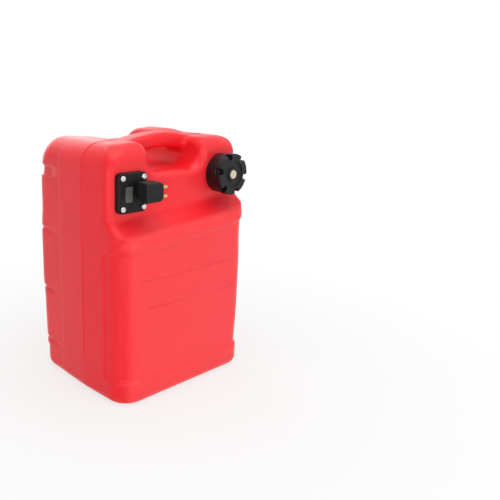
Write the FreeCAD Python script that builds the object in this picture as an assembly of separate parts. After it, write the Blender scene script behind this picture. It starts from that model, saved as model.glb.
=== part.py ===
import FreeCAD, Part
import math
import os
from FreeCAD import Vector

# Upright portable outboard fuel tank.  Millimetres, +Z up, the front face looks along -Y.
# The origin is the centre of the flat base.

# ---- blow-moulded body -----------------------------------------------------------------
tank_depth = 245.0
half_width = 143.0              # at the parting plane
front_half_width = 140.5        # the sides draft in from the parting plane to both faces
back_half_width = 136.0
parting_y = -22.0
shoulder_height = 410.5         # top of the shoulders on the centre plane
shoulder_tilt = 1.0             # degrees: the filler side stands a little higher
wall = 3.2
front_corner_radius = 38.0
recess_corner_radius = 13.0     # tight, so that the face under gauge and neck is flat
back_corner_radius = 30.0
bottom_radius = 14.0

# The foot of the body is a little narrower than the rest, with a sloped step above it.
foot_tall = 43.0
foot_step = 4.0
foot_pull_front = 0.5
foot_pull_right = 1.0
foot_pull_back = 5.0
foot_pull_left = 0.5

# The walls round over into the shoulders: how tall the rounding is, how far it draws each side
# in, and how much larger the plan's corners have become at the top.
top_round_tall = 27.0
top_round_front = 24.0
top_round_right = 20.0
top_round_back = 40.0
top_round_left = 36.0
top_corner_growth = 16.0

front_y = -tank_depth / 2
back_y = tank_depth / 2

# The front steps back in a soft S above the lower panel, and the S climbs to the filler side.
recess_setback = 34.5
shelf_low = 269.0
shelf_high = 310.0
shelf_slope = 0.065
shelf_margin = 24.0             # level stretch of the lower block that ends below the S
recess_y = front_y + recess_setback

# Flash left where the two halves of the mould met.
flash_width = 1.6
flash_proud = 0.6
flash_low = 50.0
flash_high = 372.0

# Stiffening grooves that wrap the back and both rear corners.
groove_heights = [52.0, 148.0, 255.0]
groove_tall = 7.0
groove_depth = 2.4
groove_start_y = 52.0
rear_pocket_height = 356.0
rear_pocket_tall = 17.0

# ---- carrying handle -------------------------------------------------------------------
valley_half_width = 57.0
valley_floor = 364.0
valley_corner_radius = 24.0
valley_front_radius = 16.0      # where the valley opens through the front face
valley_back_radius = 34.0       # where it opens through the back face
valley_lip_radius = 14.0        # where its sides roll over into the shoulders
valley_overrun = 2.0            # the cutter runs this far past both faces
bar_depth = 46.0
bar_tall = 25.0
bar_rise = 11.0                 # arch of the bar above the shoulders
bar_radius = 10.0
bar_root = 18.0                 # how far each end of the bar runs into its shoulder
bar_span_clear = 5.0            # the bar's free span ends this far from the valley's walls
bar_span_drop = 4.0             # and its block reaches this far below the bar

# ---- filler neck, cap and vent ---------------------------------------------------------
filler_inset = 48.0             # filler axis in from the side of the body
filler_x = half_width - filler_inset
filler_z = 352.5
filler_bore_radius = 23.0
neck_radius = 26.5
neck_length = 18.0
thread_proud = 1.5
thread_width = 2.2
thread_pitch = 4.0
seat_radius = 31.0
seat_thick = 2.0
cap_gap = 0.7                   # seat to the cap's skirt when it is screwed home
cap_skirt_radius = 32.5
cap_wheel_radius = 34.0
cap_wheel_length = 13.0
cap_crown_length = 15.5         # from the gasket face to the front of the cap
cap_thread_clearance = 0.5
cap_gasket_thick = 2.5
cap_notch_count = 6
cap_notch_width = 9.5
cap_notch_radius = 25.0         # floor of each grip notch
cap_notch_length = 11.0
cap_notch_phase = -12.0
cap_dish_radius = 22.0
cap_dish_depth = 3.0
cap_boss_radius = 11.5
vent_head_radius = 7.2
vent_head_thick = 3.6
vent_stem_radius = 3.0
vent_stem_reach = 1.0           # how far the stem comes through the cap
vent_clearance = 0.06
vent_seal_thick = 1.6
vent_port_radius = 1.0

# ---- gauge and fuel outlet -------------------------------------------------------------
gauge_inset = 42.5              # middle of the flange in from the side of the body
gauge_x = gauge_inset - half_width
gauge_z = 339.5
flange_width = 55.0
flange_tall = 61.0
flange_thick = 8.2
flange_corner_radius = 8.0
flange_edge = 2.0
flange_gasket_thick = 1.5
spigot_radius = 20.5
spigot_length = 19.5
spigot_clearance = 0.5
screw_spacing_x = 40.5
screw_spacing_z = 46.0
screw_radius = 2.5
screw_head_radius = 4.3
screw_head_tall = 2.6
screw_length = 14.0
screw_socket_radius = 1.7
screw_socket_depth = 1.4
screw_clearance = 0.3
insert_radius = 3.6
insert_length = 9.0
insert_fit = 0.05
boss_radius = 6.6
boss_length = 11.0

window_offset = 7.9             # the window lies this far left of the flange's middle
window_drop = 2.1               # and this far below it
window_x = gauge_x - window_offset
window_z = gauge_z - window_drop
window_width = 14.0
window_tall = 24.0
window_rebate = 1.8             # overlap of the lens on its ledge
lens_thick = 2.0
lens_fit = 0.05

drum_radius = 8.5
drum_length = 10.0
drum_setback = 13.5             # drum axis behind the front of the flange
drum_shaft_radius = 1.2
running_fit = 0.05
side_gap = 0.5

# ---- gear pair between the float arm and the level drum ---------------------------------
gear_module = 1.0
pinion_teeth = 14
sector_teeth = 32               # teeth of the full wheel that the sector is cut from
gear_width = 2.5
gear_addendum = 0.8
gear_dedendum = 1.1
gear_backlash = 0.12
pressure_angle = 20.0
gear_spread = 0.1               # extra centre distance
sector_first = 72.0             # degrees, the sector's two ends with the float down
sector_last = 194.0

lug_thick = 1.8
lug_tall = 11.0
lug_overhang = 6.5
pivot_pin_radius = 1.5
hub_radius = 4.2
arm_radius = 1.25
arm_length = 140.0
arm_rest_angle = -80.0          # float resting on its lower stop
arm_socket_depth = 7.0
arm_boss_radius = 3.0
arm_boss_length = 6.0
arm_fit = 0.03
float_radius = 14.0
float_length = 26.0
float_collar_radius = 3.2
float_collar_length = 3.0

# ---- pick-up --------------------------------------------------------------------------
fuel_bore_radius = 2.2
fuel_bore_offset = 12.0         # the fuel way lies this far right of the flange's middle
fuel_bore_x = gauge_x + fuel_bore_offset
barb_radius = 3.3
barb_length = 11.0
hose_inner_radius = 3.35
hose_outer_radius = 4.6
hose_bend_radius = 15.0
strainer_radius = 10.0
strainer_tall = 19.0
strainer_lift = 2.0
strainer_wall = 1.6
strainer_slots = 8
strainer_slot_width = 3.0
strainer_plug = 5.0

# ---- outlet elbow ---------------------------------------------------------------------
elbow_offset = 5.0              # its left side lies this far right of the flange's middle
elbow_width = 33.5
elbow_below = 13.5              # its underside and its top, from the flange's middle
elbow_above = 15.5
elbow_left = gauge_x + elbow_offset
elbow_right = elbow_left + elbow_width
elbow_low = gauge_z - elbow_below
elbow_high = gauge_z + elbow_above
elbow_reach = 26.3              # how far it stands in front of the flange
elbow_arm_depth = 23.0
elbow_foot_width = 21.5
elbow_foot_right = elbow_left + elbow_foot_width
elbow_foot_drop = 3.0
elbow_foot_thick = 2.4
elbow_chamfer = 4.0
elbow_edge = 2.0
oring_radius = 4.6
oring_section = 1.0
oring_squash = 0.15

fuel_pin_drop = 8.2             # below the flange's middle
guide_pin_rise = 6.0            # above it
fuel_pin_z = gauge_z - fuel_pin_drop
guide_pin_z = gauge_z + guide_pin_rise
guide_shank_radius = 3.1
pin_radius = 2.8
pin_proud = 15.5
pin_seated = 6.0
pin_tip = 0.8
pin_neck_radius = 2.3
pin_neck_length = 2.0
pin_fit = 0.02
fuel_pin_bore = 1.4
valve_bore_radius = 3.1
valve_ball_radius = 2.5
valve_seat_gap = 0.06
valve_end_wall = 3.5
valve_bore_left = elbow_left + valve_end_wall
spring_radius = 2.0
spring_wire = 0.35
spring_turns = 7

# ---- places worked out from the sizes above ---------------------------------------------
flange_back_y = recess_y - flange_gasket_thick
flange_front_y = flange_back_y - flange_thick
spigot_back_y = flange_back_y + spigot_length
drum_y = flange_front_y + drum_setback
drum_z = window_z
gear_distance = gear_module * (pinion_teeth + sector_teeth) / 2 + gear_spread
pivot_y = drum_y + gear_distance
pivot_z = drum_z
drum_left = window_x - drum_length / 2 - side_gap
drum_right = drum_left + drum_length
pinion_left = drum_right + side_gap
pinion_right = pinion_left + gear_width
chamber_left = drum_left - side_gap
chamber_right = pinion_right + 1.5 * side_gap
lug_left = drum_left - side_gap - lug_thick
lug_right = pinion_right + side_gap
arm_x = drum_left + 0.45 * drum_length
elbow_front_y = flange_front_y - elbow_reach
pin_y = elbow_front_y + elbow_arm_depth / 2
neck_rim_y = recess_y - neck_length
cap_seat_y = neck_rim_y - cap_gasket_thick
cap_front_y = cap_seat_y - cap_crown_length
cap_base_y = recess_y - seat_thick - cap_gap
tilt_slope = math.tan(math.radians(shoulder_tilt))


def box(x0, x1, y0, y1, z0, z1):
    """A block between two opposite corners."""
    return Part.makeBox(x1 - x0, y1 - y0, z1 - z0, Vector(x0, y0, z0))


def rod_y(x, z, radius, y0, y1):
    """A cylinder that runs along Y from y0 to y1."""
    return Part.makeCylinder(radius, y1 - y0, Vector(x, y0, z), Vector(0, 1, 0))


def rod_x(y, z, radius, x0, x1):
    """A cylinder that runs along X from x0 to x1."""
    return Part.makeCylinder(radius, x1 - x0, Vector(x0, y, z), Vector(1, 0, 0))


def rod_z(x, y, radius, z0, z1):
    """An upright cylinder from z0 to z1."""
    return Part.makeCylinder(radius, z1 - z0, Vector(x, y, z0), Vector(0, 0, 1))


def rounded_wire(corners, radii):
    """A closed flat outline of straight runs, with an arc at each corner that has a radius."""
    edges = []
    spans = []
    count = len(corners)
    for i in range(count):
        corner = corners[i]
        radius = radii[i]
        if radius <= 0:
            spans.append((corner, corner, None))
            continue
        back = (corners[i - 1] - corner).normalize()
        ahead = (corners[(i + 1) % count] - corner).normalize()
        half = back.getAngle(ahead) / 2
        middle = (back + ahead).normalize()
        start = corner + back * (radius / math.tan(half))
        end = corner + ahead * (radius / math.tan(half))
        crest = corner + middle * (radius / math.sin(half) - radius)
        spans.append((start, end, crest))
    for i in range(count):
        start, end, crest = spans[i]
        if crest is not None:
            edges.append(Part.Arc(start, crest, end).toShape())
        edges.append(Part.LineSegment(end, spans[(i + 1) % count][0]).toShape())
    return Part.Wire(edges)


def prism(wire, direction):
    """The solid that a flat outline sweeps along a straight line."""
    return Part.Face(wire).extrude(direction)


def round_edges(solid, radius, chosen):
    """Fillet the edges whose ends and middle all pass a test."""
    edges = []
    for edge in solid.Edges:
        middle = edge.valueAt((edge.FirstParameter + edge.LastParameter) / 2)
        points = [vertex.Point for vertex in edge.Vertexes] + [middle]
        if all(chosen(point) for point in points):
            edges.append(edge)
    return solid.makeFillet(radius, edges)


def side_half_width(y):
    """Half the width of the body at a depth: widest at the parting plane."""
    if y < parting_y:
        share = (y - front_y) / (parting_y - front_y)
        return front_half_width + share * (half_width - front_half_width)
    share = (y - parting_y) / (back_y - parting_y)
    return half_width + share * (back_half_width - half_width)


def shoulder_top(x):
    """Height of the shoulders across the width."""
    return shoulder_height + x * tilt_slope


def plan_wire(z, inset, face_y, front_radius, back_radius, slope=0.0, pulls=(0.0, 0.0, 0.0, 0.0)):
    """The body's outline from above, its front face at face_y, moved in by inset.

    With a slope the outline climbs towards the filler side.  The pulls draw the front, right,
    back and left sides in further."""
    pull_front, pull_right, pull_back, pull_left = pulls
    front = face_y + inset + pull_front
    back = back_y - inset - pull_back
    front_x = side_half_width(face_y) - inset
    middle_x = half_width - inset
    back_x = back_half_width - inset
    places = [
        (-front_x + pull_left, front),
        (front_x - pull_right, front),
        (middle_x - pull_right, parting_y),
        (back_x - pull_right, back),
        (-back_x + pull_left, back),
        (-middle_x + pull_left, parting_y),
    ]
    corners = [Vector(x, y, z + x * slope) for x, y in places]
    near = front_radius - inset
    far = back_radius - inset
    return rounded_wire(corners, [near, near, 0, far, far, 0])


def shelf_wire(share, inset):
    """The outline at a share of the way up the S that carries the front back to the recess."""
    blend = (1 - math.cos(math.pi * share)) / 2
    face_y = front_y + recess_setback * blend
    radius = front_corner_radius + (recess_corner_radius - front_corner_radius) * blend
    z = shelf_low + share * (shelf_high - shelf_low)
    return plan_wire(z, inset, face_y, radius, back_corner_radius, shelf_slope)


def top_wire(turn, inset):
    """The outline where the rounding from the walls to the shoulders has turned by an angle."""
    share = 1 - math.cos(turn)
    sides = (top_round_front, top_round_right, top_round_back, top_round_left)
    pulls = [(side - inset) * share for side in sides]
    growth = (top_corner_growth + inset) * share
    z = shoulder_height - top_round_tall + (top_round_tall - inset) * math.sin(turn)
    return plan_wire(z, inset, recess_y, recess_corner_radius + growth,
                     back_corner_radius + growth, tilt_slope, pulls)


def block_wire(z, inset, pulls=(0.0, 0.0, 0.0, 0.0)):
    """The level outline of the lower block."""
    return plan_wire(z, inset, front_y, front_corner_radius, back_corner_radius, 0.0, pulls)


def body_block(inset):
    """The body without handle or grooves: foot, lower box, S-shaped shelf, upper box, crown."""
    pulls = (foot_pull_front, foot_pull_right, foot_pull_back, foot_pull_left)
    foot = prism(block_wire(inset, inset, pulls), Vector(0, 0, foot_tall - foot_step - inset))
    foot = round_edges(foot, bottom_radius - inset, lambda p: abs(p.z - inset) < 0.001)
    step = Part.makeLoft([block_wire(foot_tall - foot_step, inset, pulls), block_wire(foot_tall, inset)],
                         True, True)
    level = shelf_low - shelf_margin
    lower = prism(block_wire(foot_tall, inset), Vector(0, 0, level - foot_tall))
    rise = Part.makeLoft([block_wire(level, inset), shelf_wire(0.0, inset)], True, True)
    steps = 8
    shelf = Part.makeLoft([shelf_wire(i / steps, inset) for i in range(steps + 1)], True, False)
    upper = Part.makeLoft([shelf_wire(1.0, inset), top_wire(0.0, inset)], True, True)
    turns = [math.pi / 2 * i / steps for i in range(steps + 1)]
    crown = Part.makeLoft([top_wire(turn, inset) for turn in turns], True, False)
    return foot.fuse([step, lower, rise, shelf, upper, crown])


def valley_wire(y, spread, grow):
    """Cross-section of the handle valley: a round-bottomed U whose lips roll outwards."""
    side = valley_half_width + grow + spread
    floor = valley_floor - grow - spread
    lip = valley_lip_radius - grow
    sky = shoulder_height + 3 * valley_lip_radius
    left_lip = shoulder_top(-side) - grow + 0.3
    right_lip = shoulder_top(side) - grow + 0.3
    corners = [
        Vector(-side, y, floor),
        Vector(side, y, floor),
        Vector(side, y, right_lip),
        Vector(side + lip, y, right_lip),
        Vector(side + lip, y, sky),
        Vector(-side - lip, y, sky),
        Vector(-side - lip, y, left_lip),
        Vector(-side, y, left_lip),
    ]
    low = valley_corner_radius + grow + spread
    roll = lip * 0.97
    return rounded_wire(corners, [low, low, roll, 0, 0, 0, 0, roll])


def valley(grow):
    """The solid that opens the handle valley from front to back, both of its mouths rounded."""
    front_radius = valley_front_radius - grow
    back_radius = valley_back_radius - grow
    first = recess_y + valley_front_radius
    last = back_y - valley_back_radius
    steps = 6
    turns = [math.pi / 2 * i / steps for i in range(steps + 1)]
    mouth = [(math.cos(turn), 1 - math.sin(turn)) for turn in turns]
    stations = [(recess_y - valley_overrun, front_radius)]
    for reach, spread in mouth:
        stations.append((first - front_radius * reach, front_radius * spread))
    for share in (0.1, 0.5, 0.9):
        stations.append((first + share * (last - first), 0.0))
    for reach, spread in reversed(mouth):
        stations.append((last + back_radius * reach, back_radius * spread))
    stations.append((back_y + valley_overrun, back_radius))
    return Part.makeLoft([valley_wire(y, spread, grow) for y, spread in stations], True, False)


def bar(inset):
    """The arched handle bar, a loft of rounded sections from shoulder to shoulder."""
    reach = valley_half_width + bar_root
    front = parting_y - bar_depth / 2 + inset
    back = parting_y + bar_depth / 2 - inset
    wires = []
    steps = 6
    for i in range(steps + 1):
        x = -reach + 2 * reach * i / steps
        arch = bar_rise * math.cos(math.pi / 2 * x / reach)
        top = shoulder_top(x) + arch - 1.0
        low = top - bar_tall + inset
        high = top - inset
        corners = [Vector(x, front, low), Vector(x, back, low), Vector(x, back, high), Vector(x, front, high)]
        wires.append(rounded_wire(corners, [bar_radius - inset] * 4))
    return Part.makeLoft(wires, True, False)


def groove(z, tall, inset):
    """One groove round the back: a slab outside the outline moved in by the groove's depth."""
    low = z - tall / 2 - inset
    height = tall + 2 * inset
    wide = 2 * half_width
    slab = box(-wide, wide, groove_start_y - inset, wide, low, low + height)
    core = plan_wire(low, inset + groove_depth, front_y, front_corner_radius, back_corner_radius)
    kept = prism(core, Vector(0, 0, height))
    return slab.cut(kept)


def tank_form(inset):
    """The moulded form, or the same form moved in by the wall for the hollow inside it."""
    form = body_block(inset).cut(valley(inset)).fuse(bar(inset))
    for z in groove_heights:
        form = form.cut(groove(z, groove_tall, inset))
    return form.cut(groove(rear_pocket_height, rear_pocket_tall, inset))


def screw_places():
    """The four flange screws, as x and z."""
    return [
        (gauge_x + sx * screw_spacing_x / 2, gauge_z + sz * screw_spacing_z / 2)
        for sx in (-1, 1)
        for sz in (-1, 1)
    ]


def bar_span():
    """The block of space that holds the bar's free span and nothing else of the body."""
    half = valley_half_width - bar_span_clear
    low = shoulder_height - bar_tall - bar_span_drop
    return box(-half, half, parting_y - bar_depth, parting_y + bar_depth, low,
               shoulder_height + 2 * bar_rise)


def handle_bar():
    """The bar's free span, hollow, cut square where it runs into the two shoulders."""
    return bar(0.0).cut(bar(wall)).common(bar_span())


def tank_shell():
    """Blow-moulded shell with filler neck, gauge port and the bosses for its inserts."""
    shell = tank_form(0.0).cut(tank_form(wall)).cut(bar_span())
    overlap = wall / 2
    shell = shell.fuse(rod_y(filler_x, filler_z, seat_radius, recess_y - seat_thick, recess_y + overlap))
    shell = shell.fuse(rod_y(filler_x, filler_z, neck_radius, neck_rim_y, recess_y + overlap))
    for turn in range(2):
        start = neck_rim_y + 3.0 + turn * thread_pitch
        shell = shell.fuse(rod_y(filler_x, filler_z, neck_radius + thread_proud, start, start + thread_width))
    for x, z in screw_places():
        shell = shell.fuse(rod_y(x, z, boss_radius, recess_y + overlap, recess_y + boss_length))
    for side in (-1, 1):
        inner = side * (half_width - overlap)
        outer = side * (half_width + flash_proud)
        near = parting_y - flash_width / 2
        flash = box(min(inner, outer), max(inner, outer), near, near + flash_width, flash_low, flash_high)
        shell = shell.fuse(flash)
    through = 3 * wall
    shell = shell.cut(rod_y(filler_x, filler_z, filler_bore_radius, neck_rim_y - 1, recess_y + through))
    port = spigot_radius + spigot_clearance
    shell = shell.cut(rod_y(gauge_x, gauge_z, port, recess_y - 1, recess_y + boss_length + 1))
    for x, z in screw_places():
        shell = shell.cut(rod_y(x, z, insert_radius, recess_y - 1, recess_y + insert_length))
    return shell


def filler_cap():
    """Hand-wheel cap: plain skirt, notched wheel, dished face and a boss for the vent."""
    x, z = filler_x, filler_z
    cap = rod_y(x, z, cap_skirt_radius, cap_front_y + cap_wheel_length, cap_base_y)
    wheel = rod_y(x, z, cap_wheel_radius, cap_front_y, cap_front_y + cap_wheel_length)
    wheel = wheel.makeFillet(1.5, wheel.Edges)
    cap = cap.fuse(wheel)
    hollow = neck_radius + thread_proud + cap_thread_clearance
    cap = cap.cut(rod_y(x, z, hollow, cap_seat_y, cap_base_y + 1))
    for i in range(cap_notch_count):
        angle = cap_notch_phase + 360.0 * i / cap_notch_count
        half = cap_notch_width / 2
        notch = box(x + cap_notch_radius, x + 2 * cap_wheel_radius, cap_front_y - 1,
                    cap_front_y + cap_notch_length, z - half, z + half)
        notch.rotate(Vector(x, 0, z), Vector(0, -1, 0), angle)
        cap = cap.cut(notch)
    dish = rod_y(x, z, cap_dish_radius, cap_front_y - 1, cap_front_y + cap_dish_depth)
    dish = dish.cut(rod_y(x, z, cap_boss_radius, cap_front_y - 1, cap_front_y + cap_dish_depth))
    cap = cap.cut(dish)
    well = vent_head_thick + vent_seal_thick
    cap = cap.cut(rod_y(x, z, vent_head_radius + 0.4, cap_front_y - 1, cap_front_y + well))
    stem = vent_stem_radius + vent_clearance
    return cap.cut(rod_y(x, z, stem, cap_front_y, cap_seat_y + 1))


def cap_gasket():
    """Flat rubber ring between the neck's rim and the cap."""
    outer = neck_radius + thread_proud
    ring = rod_y(filler_x, filler_z, outer, cap_seat_y, neck_rim_y)
    return ring.cut(rod_y(filler_x, filler_z, filler_bore_radius, cap_seat_y - 1, neck_rim_y + 1))


def vent_screw():
    """Brass vent screw: a slotted disc on a stem with an air port across and along it."""
    x, z = filler_x, filler_z
    head_back = cap_front_y + vent_head_thick
    head = rod_y(x, z, vent_head_radius, cap_front_y, head_back)
    head = round_edges(head, 0.6, lambda p: abs(p.y - cap_front_y) < 0.001)
    stem_end = cap_seat_y + vent_stem_reach
    port_start = head_back + vent_seal_thick + vent_stem_radius
    screw = head.fuse(rod_y(x, z, vent_stem_radius, head_back, stem_end))
    screw = screw.cut(rod_y(x, z, vent_port_radius, port_start, stem_end + 1))
    half = 2 * vent_stem_radius
    cross = rod_x(port_start + vent_port_radius, z, vent_port_radius, x - half, x + half)
    return screw.cut(cross)


def vent_seal():
    """Rubber washer under the vent screw's head."""
    x, z = filler_x, filler_z
    near = cap_front_y + vent_head_thick
    washer = rod_y(x, z, vent_head_radius - 0.5, near, near + vent_seal_thick)
    return washer.cut(rod_y(x, z, vent_stem_radius + vent_clearance, near - 1, near + vent_seal_thick + 1))


def flange_plate(front, back, spread):
    """A rounded square plate round the gauge, grown by spread on every side."""
    half_x = flange_width / 2 + spread
    half_z = flange_tall / 2 + spread
    corners = [
        Vector(gauge_x - half_x, front, gauge_z - half_z),
        Vector(gauge_x + half_x, front, gauge_z - half_z),
        Vector(gauge_x + half_x, front, gauge_z + half_z),
        Vector(gauge_x - half_x, front, gauge_z + half_z),
    ]
    wire = rounded_wire(corners, [flange_corner_radius + spread] * 4)
    return prism(wire, Vector(0, back - front, 0))


def cut_screw_holes(solid, y0, y1):
    """Drill the four screw holes through a plate."""
    for x, z in screw_places():
        solid = solid.cut(rod_y(x, z, screw_radius + screw_clearance, y0 - 1, y1 + 1))
    return solid


def gauge_flange():
    """Flange, spigot and lugs in one moulding: it carries window, drum, float and elbow."""
    plate = flange_plate(flange_front_y, flange_back_y, 0.0)
    plate = round_edges(plate, flange_edge, lambda p: abs(p.y - flange_front_y) < 0.001)
    flange = plate.fuse(rod_y(gauge_x, gauge_z, spigot_radius, flange_back_y - 1, spigot_back_y))
    for left in (lug_left, lug_right):
        lug = box(left, left + lug_thick, spigot_back_y - 2, pivot_y + lug_overhang,
                  pivot_z - lug_tall / 2, pivot_z + lug_tall / 2)
        flange = flange.fuse(lug)
    flange = flange.fuse(rod_y(fuel_bore_x, gauge_z, barb_radius, spigot_back_y - 1,
                               spigot_back_y + barb_length))
    flange = cut_screw_holes(flange, flange_front_y, flange_back_y)
    half_x = window_width / 2
    half_z = window_tall / 2
    seat_y = flange_front_y + lens_thick
    flange = flange.cut(box(window_x - half_x, window_x + half_x, flange_front_y - 1, seat_y,
                            window_z - half_z, window_z + half_z))
    half_x -= window_rebate
    half_z -= window_rebate
    flange = flange.cut(box(window_x - half_x, window_x + half_x, flange_front_y - 1, drum_y,
                            window_z - half_z, window_z + half_z))
    swept = drum_radius + 2 * side_gap
    flange = flange.cut(box(chamber_left, chamber_right, drum_y - swept, spigot_back_y + 1,
                            drum_z - swept, drum_z + swept))
    tip = gear_module * (sector_teeth / 2 + gear_addendum) + 2 * side_gap
    flange = flange.cut(rod_x(pivot_y, pivot_z, tip, pinion_left - side_gap, chamber_right))
    shaft = drum_shaft_radius + running_fit
    flange = flange.cut(rod_x(drum_y, drum_z, shaft, drum_left - 3, pinion_right + 3))
    pin = pivot_pin_radius + arm_fit
    flange = flange.cut(rod_x(pivot_y, pivot_z, pin, lug_left - 1, lug_right + lug_thick + 1))
    flange = flange.cut(rod_y(fuel_bore_x, gauge_z, fuel_bore_radius, flange_front_y - 1,
                              spigot_back_y + barb_length + 1))
    return flange


def flange_gasket():
    """Flat rubber gasket between the flange and the tank."""
    gasket = flange_plate(flange_back_y, recess_y, 0.0)
    gasket = gasket.cut(rod_y(gauge_x, gauge_z, spigot_radius + spigot_clearance,
                              flange_back_y - 1, recess_y + 1))
    return cut_screw_holes(gasket, flange_back_y, recess_y)


def flange_screws():
    """Four pan-head screws with a hexagon socket."""
    screws = []
    for x, z in screw_places():
        head_front = flange_front_y - screw_head_tall
        head = rod_y(x, z, screw_head_radius, head_front, flange_front_y)
        head = round_edges(head, 1.0, lambda p: abs(p.y - head_front) < 0.001)
        screw = head.fuse(rod_y(x, z, screw_radius, flange_front_y, flange_front_y + screw_length))
        points = []
        for i in range(7):
            angle = math.radians(60 * i + 30)
            points.append(Vector(x + screw_socket_radius * math.cos(angle), head_front - 1,
                                 z + screw_socket_radius * math.sin(angle)))
        socket = prism(Part.makePolygon(points), Vector(0, 1 + screw_socket_depth, 0))
        screws.append(screw.cut(socket))
    return Part.makeCompound(screws)


def threaded_inserts():
    """Four brass inserts moulded into the tank's bosses."""
    inserts = []
    for x, z in screw_places():
        insert = rod_y(x, z, insert_radius, recess_y, recess_y + insert_length)
        bore = screw_radius + insert_fit
        inserts.append(insert.cut(rod_y(x, z, bore, recess_y - 1, recess_y + insert_length + 1)))
    return Part.makeCompound(inserts)


def window_lens():
    """Clear window let into the flange."""
    half_x = window_width / 2 - lens_fit
    half_z = window_tall / 2 - lens_fit
    return box(window_x - half_x, window_x + half_x, flange_front_y, flange_front_y + lens_thick,
               window_z - half_z, window_z + half_z)


def gear_outline(teeth, centre_y, centre_z, x, phase, first, count):
    """Involute gear outline in the YZ plane: count teeth from the tooth number first."""
    pitch = gear_module * teeth / 2
    base = pitch * math.cos(math.radians(pressure_angle))
    tip = pitch + gear_module * gear_addendum
    root = pitch - gear_module * gear_dedendum
    involute = math.tan(math.radians(pressure_angle)) - math.radians(pressure_angle)
    half_tooth = math.pi / (2 * teeth) - gear_backlash / (2 * pitch) + involute
    steps = 5
    flank = [(root, half_tooth)]
    for i in range(steps + 1):
        radius = max(base, root) + (tip - max(base, root)) * i / steps
        roll = math.sqrt(max(radius * radius / (base * base) - 1, 0))
        flank.append((radius, half_tooth - (roll - math.atan(roll))))
    points = []
    for k in range(first, first + count):
        centre = phase + 2 * math.pi * k / teeth
        for radius, angle in flank:
            points.append((radius, centre - angle))
        for radius, angle in reversed(flank):
            points.append((radius, centre + angle))
    return [
        Vector(x, centre_y + radius * math.cos(angle), centre_z + radius * math.sin(angle))
        for radius, angle in points
    ]


def drum_pinion():
    """The small gear on the drum's shaft, a tooth gap facing the sector."""
    phase = math.pi / pinion_teeth
    points = gear_outline(pinion_teeth, drum_y, drum_z, pinion_left, phase, 0, pinion_teeth)
    gear = prism(Part.makePolygon(points + points[:1]), Vector(gear_width, 0, 0))
    return gear.cut(rod_x(drum_y, drum_z, drum_shaft_radius, pinion_left - 1, pinion_right + 1))


def gauge_drum():
    """Level drum behind the window."""
    drum = rod_x(drum_y, drum_z, drum_radius, drum_left, drum_right)
    return drum.cut(rod_x(drum_y, drum_z, drum_shaft_radius, drum_left - 1, drum_right + 1))


def drum_shaft():
    """Steel shaft of drum and pinion, in the two side walls of the chamber."""
    return rod_x(drum_y, drum_z, drum_shaft_radius, drum_left - 2.8, pinion_right + 2.8)


def sector_gear():
    """Toothed sector, hub and arm socket in one moulding; a tooth faces the pinion."""
    pitch_angle = 2 * math.pi / sector_teeth
    first = -int((math.pi - math.radians(sector_first)) / pitch_angle)
    last = int((math.radians(sector_last) - math.pi) / pitch_angle)
    count = last - first + 1
    points = gear_outline(sector_teeth, pivot_y, pivot_z, pinion_left, math.pi, first, count)
    centre = Vector(pinion_left, pivot_y, pivot_z)
    sector = prism(Part.makePolygon([centre] + points + [centre]), Vector(gear_width, 0, 0))
    sector = sector.fuse(rod_x(pivot_y, pivot_z, hub_radius, drum_left, pinion_right))
    along = Vector(0, math.cos(math.radians(arm_rest_angle)), math.sin(math.radians(arm_rest_angle)))
    centre = Vector(arm_x, pivot_y, pivot_z)
    sector = sector.fuse(Part.makeCylinder(arm_boss_radius, hub_radius + arm_boss_length, centre, along))
    mouth = hub_radius + arm_boss_length
    socket = Part.makeCylinder(arm_radius + arm_fit, arm_socket_depth + 1,
                               centre + along * (mouth - arm_socket_depth), along)
    sector = sector.cut(socket)
    bore = pivot_pin_radius + running_fit
    return sector.cut(rod_x(pivot_y, pivot_z, bore, drum_left - 1, pinion_right + 1))


def pivot_pin():
    """Steel pin through both lugs and the sector's hub."""
    return rod_x(pivot_y, pivot_z, pivot_pin_radius, lug_left - 0.5, lug_right + lug_thick + 0.5)


def float_arm():
    """Stainless wire from the hub's socket into the float."""
    along = Vector(0, math.cos(math.radians(arm_rest_angle)), math.sin(math.radians(arm_rest_angle)))
    start = hub_radius + arm_boss_length - arm_socket_depth
    centre = Vector(arm_x, pivot_y, pivot_z)
    return Part.makeCylinder(arm_radius, arm_length - start, centre + along * start, along)


def fuel_float():
    """Closed-cell foam float on the end of the wire, with a collar round the wire."""
    along = Vector(0, math.cos(math.radians(arm_rest_angle)), math.sin(math.radians(arm_rest_angle)))
    centre = Vector(arm_x, pivot_y, pivot_z) + along * arm_length
    middle = arm_x - 3.0
    body = rod_x(centre.y, centre.z, float_radius, middle - float_length / 2, middle + float_length / 2)
    body = body.makeFillet(2.5, body.Edges)
    collar = Part.makeCylinder(float_collar_radius, float_radius + float_collar_length,
                               centre, along * -1)
    body = body.fuse(collar)
    reach = float_radius + float_collar_length + 1
    return body.cut(Part.makeCylinder(arm_radius + arm_fit, reach, centre, along * -1))


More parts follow.
